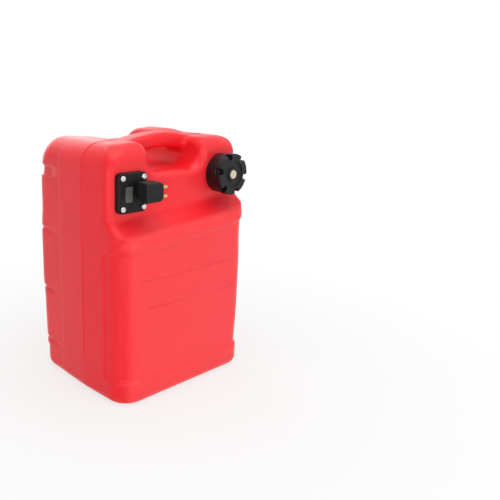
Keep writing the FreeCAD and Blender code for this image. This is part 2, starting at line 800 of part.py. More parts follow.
def pickup_tube():
    """Fuel hose from the barb, round one bend and down into the strainer."""
    start_y = spigot_back_y + 1.0
    bend_y = spigot_back_y + barb_length + 2.0
    down_y = bend_y + hose_bend_radius
    end_z = wall + strainer_lift + strainer_tall - strainer_plug
    x = fuel_bore_x
    crest = hose_bend_radius * math.sin(math.radians(45))
    centre = Vector(x, bend_y, gauge_z - hose_bend_radius)
    path = Part.Wire([
        Part.LineSegment(Vector(x, start_y, gauge_z), Vector(x, bend_y, gauge_z)).toShape(),
        Part.Arc(Vector(x, bend_y, gauge_z), centre + Vector(0, crest, crest),
                 Vector(x, down_y, centre.z)).toShape(),
        Part.LineSegment(Vector(x, down_y, centre.z), Vector(x, down_y, end_z)).toShape(),
    ])
    solids = []
    for radius in (hose_outer_radius, hose_inner_radius):
        circle = Part.makeCircle(radius, Vector(x, start_y, gauge_z), Vector(0, 1, 0))
        solids.append(path.makePipeShell([Part.Wire([circle])], True, True))
    return solids[0].cut(solids[1])


def pickup_strainer():
    """Slotted strainer cup that stands just off the bottom of the tank."""
    x = fuel_bore_x
    y = spigot_back_y + barb_length + 2.0 + hose_bend_radius
    low = wall + strainer_lift
    high = low + strainer_tall
    cup = rod_z(x, y, strainer_radius, low, high)
    cup = cup.cut(rod_z(x, y, strainer_radius - strainer_wall, low + strainer_wall, high - strainer_plug))
    cup = cup.cut(rod_z(x, y, hose_outer_radius + arm_fit, high - strainer_plug - 1, high + 1))
    for i in range(strainer_slots):
        half = strainer_slot_width / 2
        slot = box(x, x + 2 * strainer_radius, y - half, y + half, low + 2.5, high - strainer_plug - 2.0)
        slot.rotate(Vector(x, y, 0), Vector(0, 0, 1), 360.0 * i / strainer_slots)
        cup = cup.cut(slot)
    return cup


def outlet_elbow():
    """Moulded elbow: a foot on the flange, an arm to the side, and the valve's bore."""
    arm_back = elbow_front_y + elbow_arm_depth
    arm = box(elbow_left, elbow_right, elbow_front_y, arm_back, elbow_low, elbow_high)
    ends = []
    for edge in arm.Edges:
        middle = edge.CenterOfMass
        if abs(middle.x - elbow_right) < 0.001 and elbow_front_y + 0.001 < middle.y < arm_back - 0.001:
            ends.append(edge)
    arm = arm.makeChamfer(elbow_chamfer, ends)
    foot = box(elbow_left, elbow_foot_right, arm_back - 1, flange_front_y, elbow_low, elbow_high)
    base = box(elbow_left, elbow_foot_right, flange_front_y - elbow_foot_thick, flange_front_y,
               elbow_low - elbow_foot_drop, elbow_high)
    elbow = arm.fuse([foot, base]).removeSplitter()
    edges = [e for e in elbow.Edges if abs(e.CenterOfMass.y - elbow_front_y) < 0.001]
    elbow = elbow.makeFillet(elbow_edge, edges)
    elbow = elbow.cut(rod_y(fuel_bore_x, gauge_z, fuel_bore_radius, pin_y, flange_front_y + 1))
    elbow = elbow.cut(rod_z(fuel_bore_x, pin_y, fuel_bore_radius, fuel_pin_z, gauge_z + fuel_bore_radius))
    elbow = elbow.cut(rod_x(pin_y, fuel_pin_z, valve_bore_radius, valve_bore_left, elbow_right + 1))
    seat = guide_shank_radius + pin_fit
    elbow = elbow.cut(rod_x(pin_y, guide_pin_z, seat, elbow_right - pin_seated, elbow_right + 1))
    ring = oring_radius + oring_section
    groove_depth_y = 2 * oring_section - oring_squash
    groove_cut = rod_y(fuel_bore_x, gauge_z, ring, flange_front_y - groove_depth_y, flange_front_y + 1)
    inner = rod_y(fuel_bore_x, gauge_z, oring_radius - oring_section, flange_front_y - groove_depth_y,
                  flange_front_y + 1)
    return elbow.cut(groove_cut.cut(inner))


def elbow_oring():
    """Rubber ring between the elbow's foot and the flange, flattened on its two seats."""
    depth = 2 * oring_section - oring_squash
    middle = Vector(fuel_bore_x, flange_front_y - depth / 2, gauge_z)
    ring = Part.makeTorus(oring_radius, oring_section - 0.02, middle, Vector(0, 1, 0))
    outer = oring_radius + oring_section + 1
    return ring.common(rod_y(fuel_bore_x, gauge_z, outer, flange_front_y - depth, flange_front_y))


def connector_pin(z, shank_radius):
    """A turned pin with a chamfered tip and a locking neck, its shank seated in the elbow."""
    tip_x = elbow_right + pin_proud
    pin = rod_x(pin_y, z, pin_radius, elbow_right, tip_x)
    end_edges = [e for e in pin.Edges if abs(e.CenterOfMass.x - tip_x) < 0.001]
    pin = pin.makeChamfer(pin_tip, end_edges)
    neck_x = tip_x - 2.5 * pin_neck_length
    sleeve = rod_x(pin_y, z, pin_radius + 1, neck_x, neck_x + pin_neck_length)
    sleeve = sleeve.cut(rod_x(pin_y, z, pin_neck_radius, neck_x, neck_x + pin_neck_length))
    pin = pin.cut(sleeve)
    return pin.fuse(rod_x(pin_y, z, shank_radius, elbow_right - pin_seated, elbow_right))


def fuel_nipple():
    """Brass fuel pin, drilled through; its inner end is the valve's seat."""
    pin = connector_pin(fuel_pin_z, valve_bore_radius - pin_fit)
    return pin.cut(rod_x(pin_y, fuel_pin_z, fuel_pin_bore, elbow_right - pin_seated - 1,
                         elbow_right + pin_proud + 1))


def guide_pin():
    """Solid brass pin that lines up the connector."""
    return connector_pin(guide_pin_z, guide_shank_radius)


def ball_centre_x():
    """Where the valve ball sits when it closes the fuel pin's bore."""
    standoff = math.sqrt(valve_ball_radius ** 2 - fuel_pin_bore ** 2)
    return elbow_right - pin_seated - standoff - valve_seat_gap


def check_ball():
    """Stainless ball that shuts the outlet when nothing is plugged in."""
    return Part.makeSphere(valve_ball_radius, Vector(ball_centre_x(), pin_y, fuel_pin_z))


def check_spring():
    """Coil spring behind the ball."""
    start = valve_bore_left + spring_wire
    contact = math.sqrt((valve_ball_radius + spring_wire) ** 2 - spring_radius ** 2)
    end = ball_centre_x() - contact - running_fit
    length = end - start
    helix = Part.makeHelix(length / spring_turns, length, spring_radius)
    profile = Part.Wire([Part.makeCircle(spring_wire, Vector(spring_radius, 0, 0), Vector(0, 1, 0))])
    spring = Part.Wire(helix).makePipeShell([profile], True, True)
    spring.rotate(Vector(0, 0, 0), Vector(0, 1, 0), 90)
    spring.translate(Vector(start, pin_y, fuel_pin_z))
    return spring


PIECES = {
    "tank_shell": tank_shell,
    "handle_bar": handle_bar,
    "filler_cap": filler_cap,
    "cap_gasket": cap_gasket,
    "vent_screw": vent_screw,
    "vent_seal": vent_seal,
    "gauge_flange": gauge_flange,
    "flange_gasket": flange_gasket,
    "flange_screws": flange_screws,
    "threaded_inserts": threaded_inserts,
    "window_lens": window_lens,
    "gauge_drum": gauge_drum,
    "drum_pinion": drum_pinion,
    "drum_shaft": drum_shaft,
    "sector_gear": sector_gear,
    "pivot_pin": pivot_pin,
    "float_arm": float_arm,
    "fuel_float": fuel_float,
    "pickup_tube": pickup_tube,
    "pickup_strainer": pickup_strainer,
    "outlet_elbow": outlet_elbow,
    "elbow_oring": elbow_oring,
    "fuel_nipple": fuel_nipple,
    "guide_pin": guide_pin,
    "check_ball": check_ball,
    "check_spring": check_spring,
}

os.makedirs("parts", exist_ok=True)
for name, make in PIECES.items():
    shape = make()
    shape.exportStep("parts/" + name + ".step")
    print(name, len(shape.Solids), round(shape.Volume, 1), shape.isValid())
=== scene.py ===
import math

import bmesh
import bpy
import numpy as np
from mathutils import Matrix, Vector


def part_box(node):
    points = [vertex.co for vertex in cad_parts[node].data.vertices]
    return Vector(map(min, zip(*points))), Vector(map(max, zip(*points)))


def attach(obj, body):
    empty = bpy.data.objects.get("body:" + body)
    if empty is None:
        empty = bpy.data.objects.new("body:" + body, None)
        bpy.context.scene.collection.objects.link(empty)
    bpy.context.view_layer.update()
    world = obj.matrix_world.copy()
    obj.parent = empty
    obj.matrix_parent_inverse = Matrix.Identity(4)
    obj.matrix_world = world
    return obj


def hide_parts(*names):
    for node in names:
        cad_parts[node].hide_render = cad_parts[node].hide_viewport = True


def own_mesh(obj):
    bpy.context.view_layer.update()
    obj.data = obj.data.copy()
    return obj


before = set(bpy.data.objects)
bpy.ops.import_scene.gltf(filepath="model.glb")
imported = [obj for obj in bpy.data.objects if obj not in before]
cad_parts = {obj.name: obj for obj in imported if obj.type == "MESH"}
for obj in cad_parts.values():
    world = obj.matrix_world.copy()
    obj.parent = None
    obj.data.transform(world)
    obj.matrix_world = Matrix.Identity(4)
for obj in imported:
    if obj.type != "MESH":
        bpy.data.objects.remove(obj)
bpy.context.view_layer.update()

# ---- Studio ----------------------------------------------
# A white floor and surround, the camera, and six soft panels that light the tank from the
# front, the left, above and behind.  None of it belongs to the tank.

camera_place = Vector((-0.68061, -0.78268, 0.50017))
camera_right = Vector((0.7556657, -0.65491276, 0.007657))
camera_up = Vector((0.16935278, 0.20667287, 0.96364203))
camera_back = Vector((-0.63268396, -0.72689449, 0.26708689))
sensor_width = 36.0
focal_in_frames = 608.7 / 500.0  # focal length as a share of the frame's width
sideways_shift = (250.0 - 141.0) / 500.0

white = (1.0, 1.0, 1.0, 1.0)
floor_colour = (0.80, 0.80, 0.80, 1.0)
floor_half = 8.0
shadow_reach = (0.25, 0.70)  # the floor's lift to white grows between these distances,
shadow_lift = 0.72  # from this share to the whole
surround_light = 0.50  # the surround's strength as a light,
surround_seen = 1.0  # and in direct views of it
tank_middle = Vector((0.0, 0.0, 0.22))
panels = (  # name, place, side in metres and power in watts
    ("front_panel", (-0.30, -1.75, 0.90), 1.20, 2.6),
    ("low_panel", (-0.10, -1.60, 0.26), 0.40, 3.0),
    ("left_panel", (-1.70, 0.20, 0.90), 1.20, 0.8),
    ("corner_panel", (-1.44, -1.24, 0.26), 0.35, 6.0),
    ("top_panel", (0.00, -0.35, 1.90), 1.60, 17.0),
    ("back_panel", (0.60, 1.90, 0.90), 1.40, 9.0),
)


def add_object(name, data):
    """A new object in the scene, with the data it shows."""
    thing = bpy.data.objects.new(name, data)
    bpy.context.scene.collection.objects.link(thing)
    return thing


def add_camera():
    """A camera at its place, its turn given by where right, up and back point."""
    data = bpy.data.cameras.new("camera")
    data.sensor_width = sensor_width
    data.lens = sensor_width * focal_in_frames
    data.shift_x = sideways_shift
    camera = add_object("camera", data)
    turn = Matrix((camera_right, camera_up, camera_back)).transposed()
    camera.matrix_world = Matrix.Translation(camera_place) @ turn.to_4x4()
    bpy.context.scene.camera = camera


def add_panel(name, place, side, watts):
    """A square softbox that looks at the tank's middle."""
    data = bpy.data.lights.new(name, "AREA")
    data.shape = "SQUARE"
    data.size = side
    data.energy = watts
    turn = (tank_middle - Vector(place)).to_track_quat("-Z", "Y")
    add_object(name, data).matrix_world = Matrix.Translation(place) @ turn.to_matrix().to_4x4()


def add_mesh(name, vertices, faces):
    """A new smooth mesh object from an array of points and a list of faces."""
    mesh = bpy.data.meshes.new(name)
    mesh.from_pydata(np.asarray(vertices, float).tolist(), [], faces)
    mesh.validate()
    mesh.shade_smooth()
    return add_object(name, mesh)


def coat(thing, material):
    """Give a mesh object its one finish."""
    slots = thing.data.materials
    slots.clear()
    slots.append(material)


def srgb(screen):
    """A colour given as 0 to 255 screen values, in linear light."""
    values = np.array(screen) / 255.0
    linear = np.where(values <= 0.04045, values / 12.92, ((values + 0.055) / 1.055) ** 2.4)
    return tuple(linear) + (1.0,)


class Value:
    """A socket in a material, with arithmetic that adds Math nodes."""

    def __init__(self, finish, socket):
        self.finish = finish
        self.socket = socket

    def __add__(self, other):
        return self.finish.math("ADD", self, other)

    def __sub__(self, other):
        return self.finish.math("SUBTRACT", self, other)

    def __rsub__(self, other):
        return self.finish.math("SUBTRACT", other, self)

    def __mul__(self, other):
        return self.finish.math("MULTIPLY", self, other)

    __radd__ = __add__
    __rmul__ = __mul__


class Finish:
    """A material under construction: a Principled surface and the nodes that feed it."""

    def __init__(self, name):
        self.material = bpy.data.materials.new(name)
        self.material.use_nodes = True
        self.tree = self.material.node_tree
        self.surface = self.tree.nodes["Principled BSDF"]
        self.output = self.tree.nodes["Material Output"]
        self.place = self.add("ShaderNodeTexCoord", "Object")

    def add(self, kind, output, settings=None, inputs=None):
        """Any node: its type, the output wanted, its settings, and its sockets' values or links."""
        node = self.tree.nodes.new(kind)
        for name, setting in (settings or {}).items():
            setattr(node, name, setting)
        for name, value in (inputs or {}).items():
            self.feed(node.inputs[name], value)
        return Value(self, node.outputs[output])

    def feed(self, socket, value):
        """Link a wrapped socket, or set a plain value."""
        if isinstance(value, Value):
            self.tree.links.new(value.socket, socket)
        else:
            socket.default_value = value

    def set(self, **values):
        """Set the Principled surface's sockets, underscores for spaces, and return the material."""
        for name, value in values.items():
            self.feed(self.surface.inputs[name.replace("_", " ")], value)
        return self.material

    def math(self, operation, first, second=0.0):
        """One Math node on two values."""
        return self.add("ShaderNodeMath", "Value", {"operation": operation}, {0: first, 1: second})

    def coordinates(self, axes):
        """Where a point lies along each of the named axes, in metres."""
        return [self.add("ShaderNodeSeparateXYZ", axis, None, {"Vector": self.place}) for axis in axes]

    def noise(self, scale, detail=2.0, roughness=0.5, distortion=0.0):
        """Noise over the piece, its scale in cycles per metre."""
        return self.add("ShaderNodeTexNoise", "Fac", None, {
            "Vector": self.place, "Scale": scale, "Detail": detail, "Roughness": roughness,
            "Distortion": distortion})

    def ramp(self, value, low, high, start=0.0, end=1.0):
        """A straight change from start to end as a value goes from low to high, held beyond."""
        return self.add("ShaderNodeMapRange", "Result", {"clamp": True}, {
            "Value": value, "From Min": low, "From Max": high, "To Min": start, "To Max": end})

    def mix(self, share, *colours):
        """A colour between two, by share.  A Mix node's sockets for colours are 6, 7 and 2."""
        first, second = [shade if isinstance(shade, Value) else srgb(shade) for shade in colours]
        return self.add("ShaderNodeMix", 2, {"data_type": "RGBA"}, {0: share, 6: first, 7: second})

    def mottle(self, pattern, first, second, low=0.3, high=0.7):
        """A colour that drifts from one to another as a pattern goes from low to high."""
        return self.mix(self.ramp(pattern, low, high), first, second)

    def bump(self, height, distance, strength):
        """A normal from a height, its full scale in metres."""
        return self.add("ShaderNodeBump", "Normal", None, {
            "Height": height, "Distance": distance, "Strength": strength})


def direct_views(tree):
    """A socket that is 1 for rays from the camera, off gloss or through glass, and 0 for others."""
    path = tree.nodes.new("ShaderNodeLightPath")
    direct = path.outputs["Is Camera Ray"]
    for name in ("Is Glossy Ray", "Is Transmission Ray"):
        either = tree.nodes.new("ShaderNodeMath")
        either.operation = "MAXIMUM"
        tree.links.new(direct, either.inputs[0])
        tree.links.new(path.outputs[name], either.inputs[1])
        direct = either.outputs[0]
    return direct


def add_floor():
    """A level white floor.  Direct views see it lifted to white, less so near the tank, where it
    keeps the shadow: the lift is an emission mixed in by distance from the middle."""
    finish = Finish("studio_floor")
    finish.set(Base_Color=floor_colour, Roughness=0.9, Specular_IOR_Level=0.2)
    reach = finish.add("ShaderNodeVectorMath", "Value", {"operation": "LENGTH"}, {0: finish.place})
    lift = finish.ramp(reach, *shadow_reach, shadow_lift, 1.0)
    glow = finish.add("ShaderNodeEmission", "Emission", None, {"Color": white, "Strength": 1.0})
    mixed = finish.add("ShaderNodeMixShader", "Shader", None, {
        0: lift * Value(finish, direct_views(finish.tree)),
        1: Value(finish, finish.surface.outputs["BSDF"]), 2: glow})
    finish.feed(finish.output.inputs["Surface"], mixed)
    corners = floor_half * np.array([(-1, -1, 0), (1, -1, 0), (1, 1, 0), (-1, 1, 0)])
    floor = add_mesh("floor", corners, [(0, 1, 2, 3)])
    coat(floor, finish.material)


def light_world():
    """An even white surround: one strength as a light, another in direct views of it."""
    world = bpy.data.worlds.new("surround")
    world.use_nodes = True
    tree = world.node_tree
    background = tree.nodes["Background"]
    background.inputs["Color"].default_value = white
    level = tree.nodes.new("ShaderNodeMapRange")
    level.inputs["To Min"].default_value = surround_light
    level.inputs["To Max"].default_value = surround_seen
    tree.links.new(direct_views(tree), level.inputs["Value"])
    tree.links.new(level.outputs["Result"], background.inputs["Strength"])
    bpy.context.scene.world = world


bpy.context.scene.view_settings.view_transform = "Standard"
add_camera()
add_floor()
light_world()
for panel in panels:
    add_panel(*panel)

# ---- Body ------------------------------------------------
# One hollow moulding in red polyethylene with its handle bar, blown in a mould of two halves:
# soft corners, an S-shaped step in the front, a valley under the bar and grooves round the back.
# It is worked out as a field, the distance to its skin, which is negative inside the plastic.

bar_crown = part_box("handle_bar")[1].z
back_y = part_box("tank_shell")[1].y
front_y = -back_y
half_width = 0.143
front_half_width = 0.1405
back_half_width = 0.136
parting_y = -0.022
wall = 0.0032
wall_turn = 0.02  # the walls change from gauge side to filler side within this of the middle,
shoulder_turn = 0.03  # and the shoulders, also from front to back, within this

foot_tall = 0.043
foot_step = 0.005
foot_pull_back = 0.0050
bottom_radius = 0.014

recess_setback = 0.0345
recess_y = front_y + recess_setback
shelf_low = 0.269
shelf_high = 0.310
shelf_slope = 0.065
shelf_lift = 0.006  # the S swings up towards the filler side's corner
shelf_lift_x = (0.08, 0.14)
front_corner_radius = 0.038
right_corner_gain = 0.010  # the filler side's front corner is this much tighter
right_belly_gain = 0.004  # and tighter again half way up
right_belly = (0.150, 0.04, 0.06)  # that stretch's middle, half height and soft edge
recess_corner_radius = 0.013
recess_corner_start = 0.35  # the front corner is this tight from this share of the way back
back_corner_radius = 0.031
left_back_gain = 0.012  # the gauge side's back corner is this much softer at the top,
left_back_z = (0.33, 0.40)
left_foot_gain = 0.004  # softer at the foot,
left_foot_z = (0.03, 0.12)
left_belly_gain = 0.006  # and tighter in between
left_belly = (0.21, 0.04, 0.05)
panel_sink = 0.0022  # between foot and lip the front has sunk, and so have both
panel_lip = 0.262  # flanks as far back as panel_back_y
panel_lip_edge = 0.006
panel_back_y = -0.077
side_step_y = 0.0415  # a faint upright step on both flanks, in front of the grooves
side_step = 0.0005
flank_edge = 0.004  # the run of either step on the flanks

shoulder_height = 0.4105
shoulder_slope = math.tan(math.radians(1.0))
top_radius_front = 0.024
top_radius_right = 0.031
top_radius_back = 0.040
top_radius_left = 0.036
top_radius_turn = (-0.03, -0.002)  # a face's radius turns into a flank's round the corner
hump_rise = 0.0055  # the filler side's shoulder is a little higher behind the bar
hump_front_y = (0.005, 0.05)
hump_left_x = (0.03, 0.06)
hump_right_x = (0.10, 0.14)
brow_rise = 0.0018  # and the gauge side's along the edge of the valley
brow = (-0.075, 0.012, 0.05)  # the brow's middle, half width and soft edge

valley_half_width = 0.057
valley_floor = 0.364
valley_corner_radius = 0.024
valley_front_radius = 0.016
valley_front_y = (0.05, 0.07)  # how far in front of the middle its front mouth opens,
valley_back_radius = 0.032
valley_back_y = (0.05, 0.09)  # and how far behind it its back mouth does
valley_hump_radius = 0.013  # its back mouth is tighter beside the hump
valley_hump_x = (0.0, 0.04)
valley_lip_radius = 0.014
valley_lip_gain = 0.003  # and its lip on that side too
bar_half_depth = 0.023
bar_half_tall = 0.0125
bar_reach = 0.086
bar_rise = 0.0106
bar_settle = 0.001  # its arch springs from this far under the shoulders
bar_crest_x = 0.016  # the arch peaks here, and falls faster on the filler side
bar_arch_left = 0.090
bar_arch_right = 0.062
bar_radius = 0.010
bar_dip = 0.010  # how far each end of the bar dives into its shoulder
bar_dip_start = 0.060
bar_blend = 0.010

groove_heights = (0.052, 0.148, 0.255)
groove_half_flat = 0.001
groove_edge = 0.0045
groove_depth = 0.0024
groove_start = 0.046
groove_run_in = 0.030  # the grooves and the pocket fade in over this length
rear_pocket_height = 0.356
rear_pocket_half_flat = 0.0065
rear_pocket_edge = 0.004
rear_pocket_depth = 0.0036

filler_place = (0.095, 0.3525)
filler_bore_radius = 0.0238
gauge_place = (-0.1005, 0.3395)
gauge_port_radius = 0.021
bore_reach = 0.02  # how far either bore's cutter stands out of the recess
bore_sides = 96

red_deep = (233, 27, 38)
red_bright = (241, 34, 45)
# A paler red painted on the front face and recess as painted light, where the light falls more
red_painted_light = (247, 62, 66)
front_painted_light_y = (-0.118, -0.110)  # painted light: the front face is drawn paler, as where light falls on it, as far back as this,
recess_painted_light = 0.45  # and the recess, where the S lies in shade, to this share, between the next two
recess_painted_light_front_y = (-0.092, -0.088)
recess_painted_light_back_y = (-0.084, -0.078)
painted_light_side_x = (0.122, 0.134)  # but not the rounded corners
# A deeper red painted along the creases as painted shade
crease_shade_red = (176, 24, 34)
crease_shade = 0.3
front_creases = (  # faint chilled lines in the front, with painted shade along them, as height and two ends
    (0.1985, -0.108, 0.116),
    (0.153, -0.090, 0.002),
    (0.150, 0.048, 0.120),
)
crease_wander = 0.010
crease_edge = (0.0006, 0.0016)
crease_run_out = 0.01
crease_y = (-0.118, -0.115)

skin_cell = 0.0030
lining_cell = 0.0062
margin_cells = 2.5  # the grid reaches this many cells beyond the span
settle_rounds = 3
settle_share = 0.6  # of the way to the neighbours' mean
slope_probe = 0.0001  # half the length that the field's slope is taken over
least_slope = 0.05  # and the least that its square counts for


def ease(value, low, high):
    """0 below low, 1 above high, and 3t^2 - 2t^3 between them."""
    share = np.clip((value - low) / (high - low), 0.0, 1.0)
    return share * share * (3.0 - 2.0 * share)


def band(value, middle, half, soft):
    """1 within half of the middle, falling to 0 over the soft edge outside it."""
    return 1.0 - ease(np.abs(value - middle), half, half + soft)


def between(first, second, share):
    """The first at a share of 0, the second at 1, and a straight mix between them."""
    return first + share * (second - first)


def rounded_corner(first, second, radius):
    """Distance to a convex edge, from the distances to its two faces.

    Inside the rounding it is the length of (first + r, second + r), less r."""
    a = first + radius
    b = second + radius
    return np.hypot(np.maximum(a, 0), np.maximum(b, 0)) + np.minimum(np.maximum(a, b), 0) - radius


def flow_together(first, second, reach):
    """The nearer of two forms, with a fillet: less h^2 reach / 4 where they lie within reach."""
    share = np.maximum(reach - np.abs(first - second), 0.0) / reach
    return np.minimum(first, second) - share * share * reach / 4


def shoulder_top(x):
    """Height of the shoulders, which climb to the filler side at a constant slope."""
    return shoulder_height + x * shoulder_slope


def upright_walls(x, y, z):
    """Distance to the four walls: half widths that draft in from the parting plane, a front face
    that moves back by half a cosine wave up the S, and rounded upright corners."""
    half = np.interp(y, [front_y, parting_y, back_y], [front_half_width, half_width, back_half_width])
    right = ease(x, -wall_turn, wall_turn)
    foot = 1.0 - ease(z, foot_tall - foot_step, foot_tall)
    level = z - x * shelf_slope - shelf_lift * ease(x, *shelf_lift_x)
    climb = np.clip((level - shelf_low) / (shelf_high - shelf_low), 0.0, 1.0)
    setback = (1.0 - np.cos(np.pi * climb)) / 2
    sunk = panel_sink * ease(panel_lip - level, 0.0, panel_lip_edge) * (1.0 - foot)
    flank = np.abs(x) - half + side_step * ease(y, side_step_y, side_step_y + flank_edge)
    flank = flank + sunk * ease(panel_back_y - y, -flank_edge / 2, flank_edge / 2)
    front = front_y + recess_setback * setback + sunk - y
    back = y - back_y + foot * foot_pull_back
    tight = right * (right_corner_gain + right_belly_gain * band(z, *right_belly))
    recessed = ease(setback, 0.0, recess_corner_start)
    near = between(front_corner_radius - tight, recess_corner_radius, recessed)
    soft = left_back_gain * ease(z, *left_back_z) - left_belly_gain * band(z, *left_belly)
    soft = soft + left_foot_gain * (1.0 - ease(z, *left_foot_z))
    far = back_corner_radius + (1.0 - right) * soft
    return np.maximum(rounded_corner(flank, front, near), rounded_corner(flank, back, far)), flank


def body_field(x, y, z):
    """Distance to the outside of the body: walls, shoulders and base rounded together, less the
    valley, plus the handle bar, less the grooves and the pocket round the back."""
    walls, flank = upright_walls(x, y, z)
    right = ease(x, -shoulder_turn, shoulder_turn)
    rear = ease(y, -shoulder_turn, shoulder_turn)
    sideways = ease(flank - walls, *top_radius_turn)
    over_side = between(top_radius_left, top_radius_right, right)
    over_face = between(top_radius_front, top_radius_back, rear)
    hump = hump_rise * ease(y, *hump_front_y) * ease(x, *hump_left_x)
    hump = hump * (1.0 - ease(x, *hump_right_x)) + brow_rise * band(x, *brow)
    body = rounded_corner(walls, z - shoulder_top(x) - hump, between(over_face, over_side, sideways))
    body = rounded_corner(body, -z, bottom_radius)
    valley = rounded_corner(np.abs(x) - valley_half_width, valley_floor - z, valley_corner_radius)
    lip = valley_lip_radius - valley_lip_gain * right
    mouth = between(lip, valley_front_radius, ease(-y, *valley_front_y))
    rear_mouth = between(valley_back_radius, valley_hump_radius, ease(x, *valley_hump_x))
    mouth = mouth + (rear_mouth - lip) * ease(y, *valley_back_y)
    body = rounded_corner(body, -valley, mouth)
    along = (x - bar_crest_x) / np.where(x < bar_crest_x, bar_arch_left, bar_arch_right)
    arch = bar_rise * np.cos(np.pi / 2 * np.clip(along, -1.0, 1.0)) - bar_settle
    dive = bar_dip * ease(np.abs(x), bar_dip_start, bar_reach)
    rise = np.abs(z - (shoulder_top(x) + arch - dive - bar_half_tall))
    bar = rounded_corner(np.abs(y - parting_y) - bar_half_depth, rise - bar_half_tall, bar_radius)
    body = flow_together(body, np.maximum(bar, np.abs(x) - bar_reach), bar_blend)
    hollow = rear_pocket_depth * band(z, rear_pocket_height, rear_pocket_half_flat, rear_pocket_edge)
    for height in groove_heights:
        hollow = hollow + groove_depth * band(z, height, groove_half_flat, groove_edge)
    return body + hollow * ease(y, groove_start, groove_start + groove_run_in)


def lining_field(x, y, z):
    """Distance to the inside of the wall: the outside's, plus the wall's thickness."""
    return body_field(x, y, z) + wall


def net_over(field, cell, span):
    """Points and quads over the zero surface of a field.

    Each grid cell that the surface crosses holds one point, the mean of the crossings on its
    edges.  Each grid edge that it crosses joins the points of the four cells round it."""
    low = np.array(span[0]) - margin_cells * cell
    high = np.array(span[1]) + margin_cells * cell
    axes = [np.arange(low[k], high[k], cell) for k in range(3)]
    value = field(*np.meshgrid(*axes, indexing="ij"))
    points = []
    quads = []
    for axis in range(3):
        here = np.take(value, range(value.shape[axis] - 1), axis)
        ahead = np.take(value, range(1, value.shape[axis]), axis)
        place = np.argwhere((here < 0) != (ahead < 0))
        start = here[tuple(place.T)]
        end = ahead[tuple(place.T)]
        point = low + cell * place
        point[:, axis] += cell * start / (start - end)
        points.append(point)
        u, v = np.roll(np.eye(3, dtype=int), -axis - 1, 0)[:2]
        quad = np.stack([np.ravel_multi_index(tuple((place - step).T), value.shape)
                         for step in (u * 0, u, u + v, v)], 1)
        quads.append(np.where((start < 0)[:, None], quad, quad[:, ::-1]))
    cells = np.unique(np.concatenate(quads), return_inverse=True)[1]
    points = np.repeat(np.concatenate(points), 4, 0)
    total = np.stack([np.bincount(cells.ravel(), points[:, k]) for k in range(3)], 1)
    return total / np.bincount(cells.ravel())[:, None], cells.reshape(-1, 4)


def settle_on(field, points, quads):
    """Slide points towards the mean of their neighbours, then along the field's slope onto it."""
    first = quads.ravel()
    other = np.roll(quads, -1, 1).ravel()
    for turn in range(settle_rounds):
        mean = np.stack([np.bincount(first, points[other, k]) for k in range(3)], 1)
        points = points + settle_share * (mean / np.bincount(first)[:, None] - points)
        for step in range(2):
            distance = field(*points.T)
            slope = np.stack([field(*(points + axis).T) - field(*(points - axis).T)
                              for axis in slope_probe * np.eye(3)], 1) / (2 * slope_probe)
            points = points - (distance / np.maximum((slope ** 2).sum(1), least_slope))[:, None] * slope
    return points


def add_skin(name, field, cell, span):
    """A closed mesh object over the zero surface of a field, sought between two corners."""
    points, quads = net_over(field, cell, span)
    return add_mesh(name, settle_on(field, points, quads), quads.tolist())


def add_tube(name, rings, closed=False):
    """A mesh from rings of points: quads from ring to ring, and the ends capped or joined."""
    count, sides = rings.shape[:2]
    here = np.arange(sides)
    ahead = (here + 1) % sides
    base = sides * np.arange(count if closed else count - 1)[:, None]
    over = (base + sides) % (count * sides)
    faces = np.stack([base + here, base + ahead, over + ahead, over + here], 2).reshape(-1, 4).tolist()
    if not closed:
        faces += [here[::-1].tolist(), (here + (count - 1) * sides).tolist()]
    tube = add_mesh(name, rings.reshape(-1, 3), faces)
    shape = bmesh.new()
    shape.from_mesh(tube.data)
    bmesh.ops.recalc_face_normals(shape, faces=shape.faces)
    shape.to_mesh(tube.data)
    shape.free()
    return tube


def full_turn(sides):
    """The angles of so many even steps round a circle."""
    return 2 * np.pi * np.arange(sides) / sides


def add_plug(name, start, end, radius, sides):
    """A closed cylinder between two points: a ring of points round each."""
    run = np.subtract(end, start) / np.linalg.norm(np.subtract(end, start))
    across = np.roll(run, 1)
    angle = full_turn(sides)[:, None]
    ring = radius * (across * np.cos(angle) + np.cross(run, across) * np.sin(angle))
    return add_tube(name, np.stack([ring + start, ring + end]))


def cut_away(body, cutters):
    """Take closed cutters out of a closed body, and leave the result as the body's own mesh."""
    for cutter in cutters:
        cut = body.modifiers.new("cut", "BOOLEAN")
        cut.operation = "DIFFERENCE"
        cut.solver = "MANIFOLD"
        cut.object = cutter
    result = bpy.data.meshes.new_from_object(body.evaluated_get(bpy.context.evaluated_depsgraph_get()))
    body.modifiers.clear()
    body.data = result
    for cutter in cutters:
        bpy.data.objects.remove(cutter)


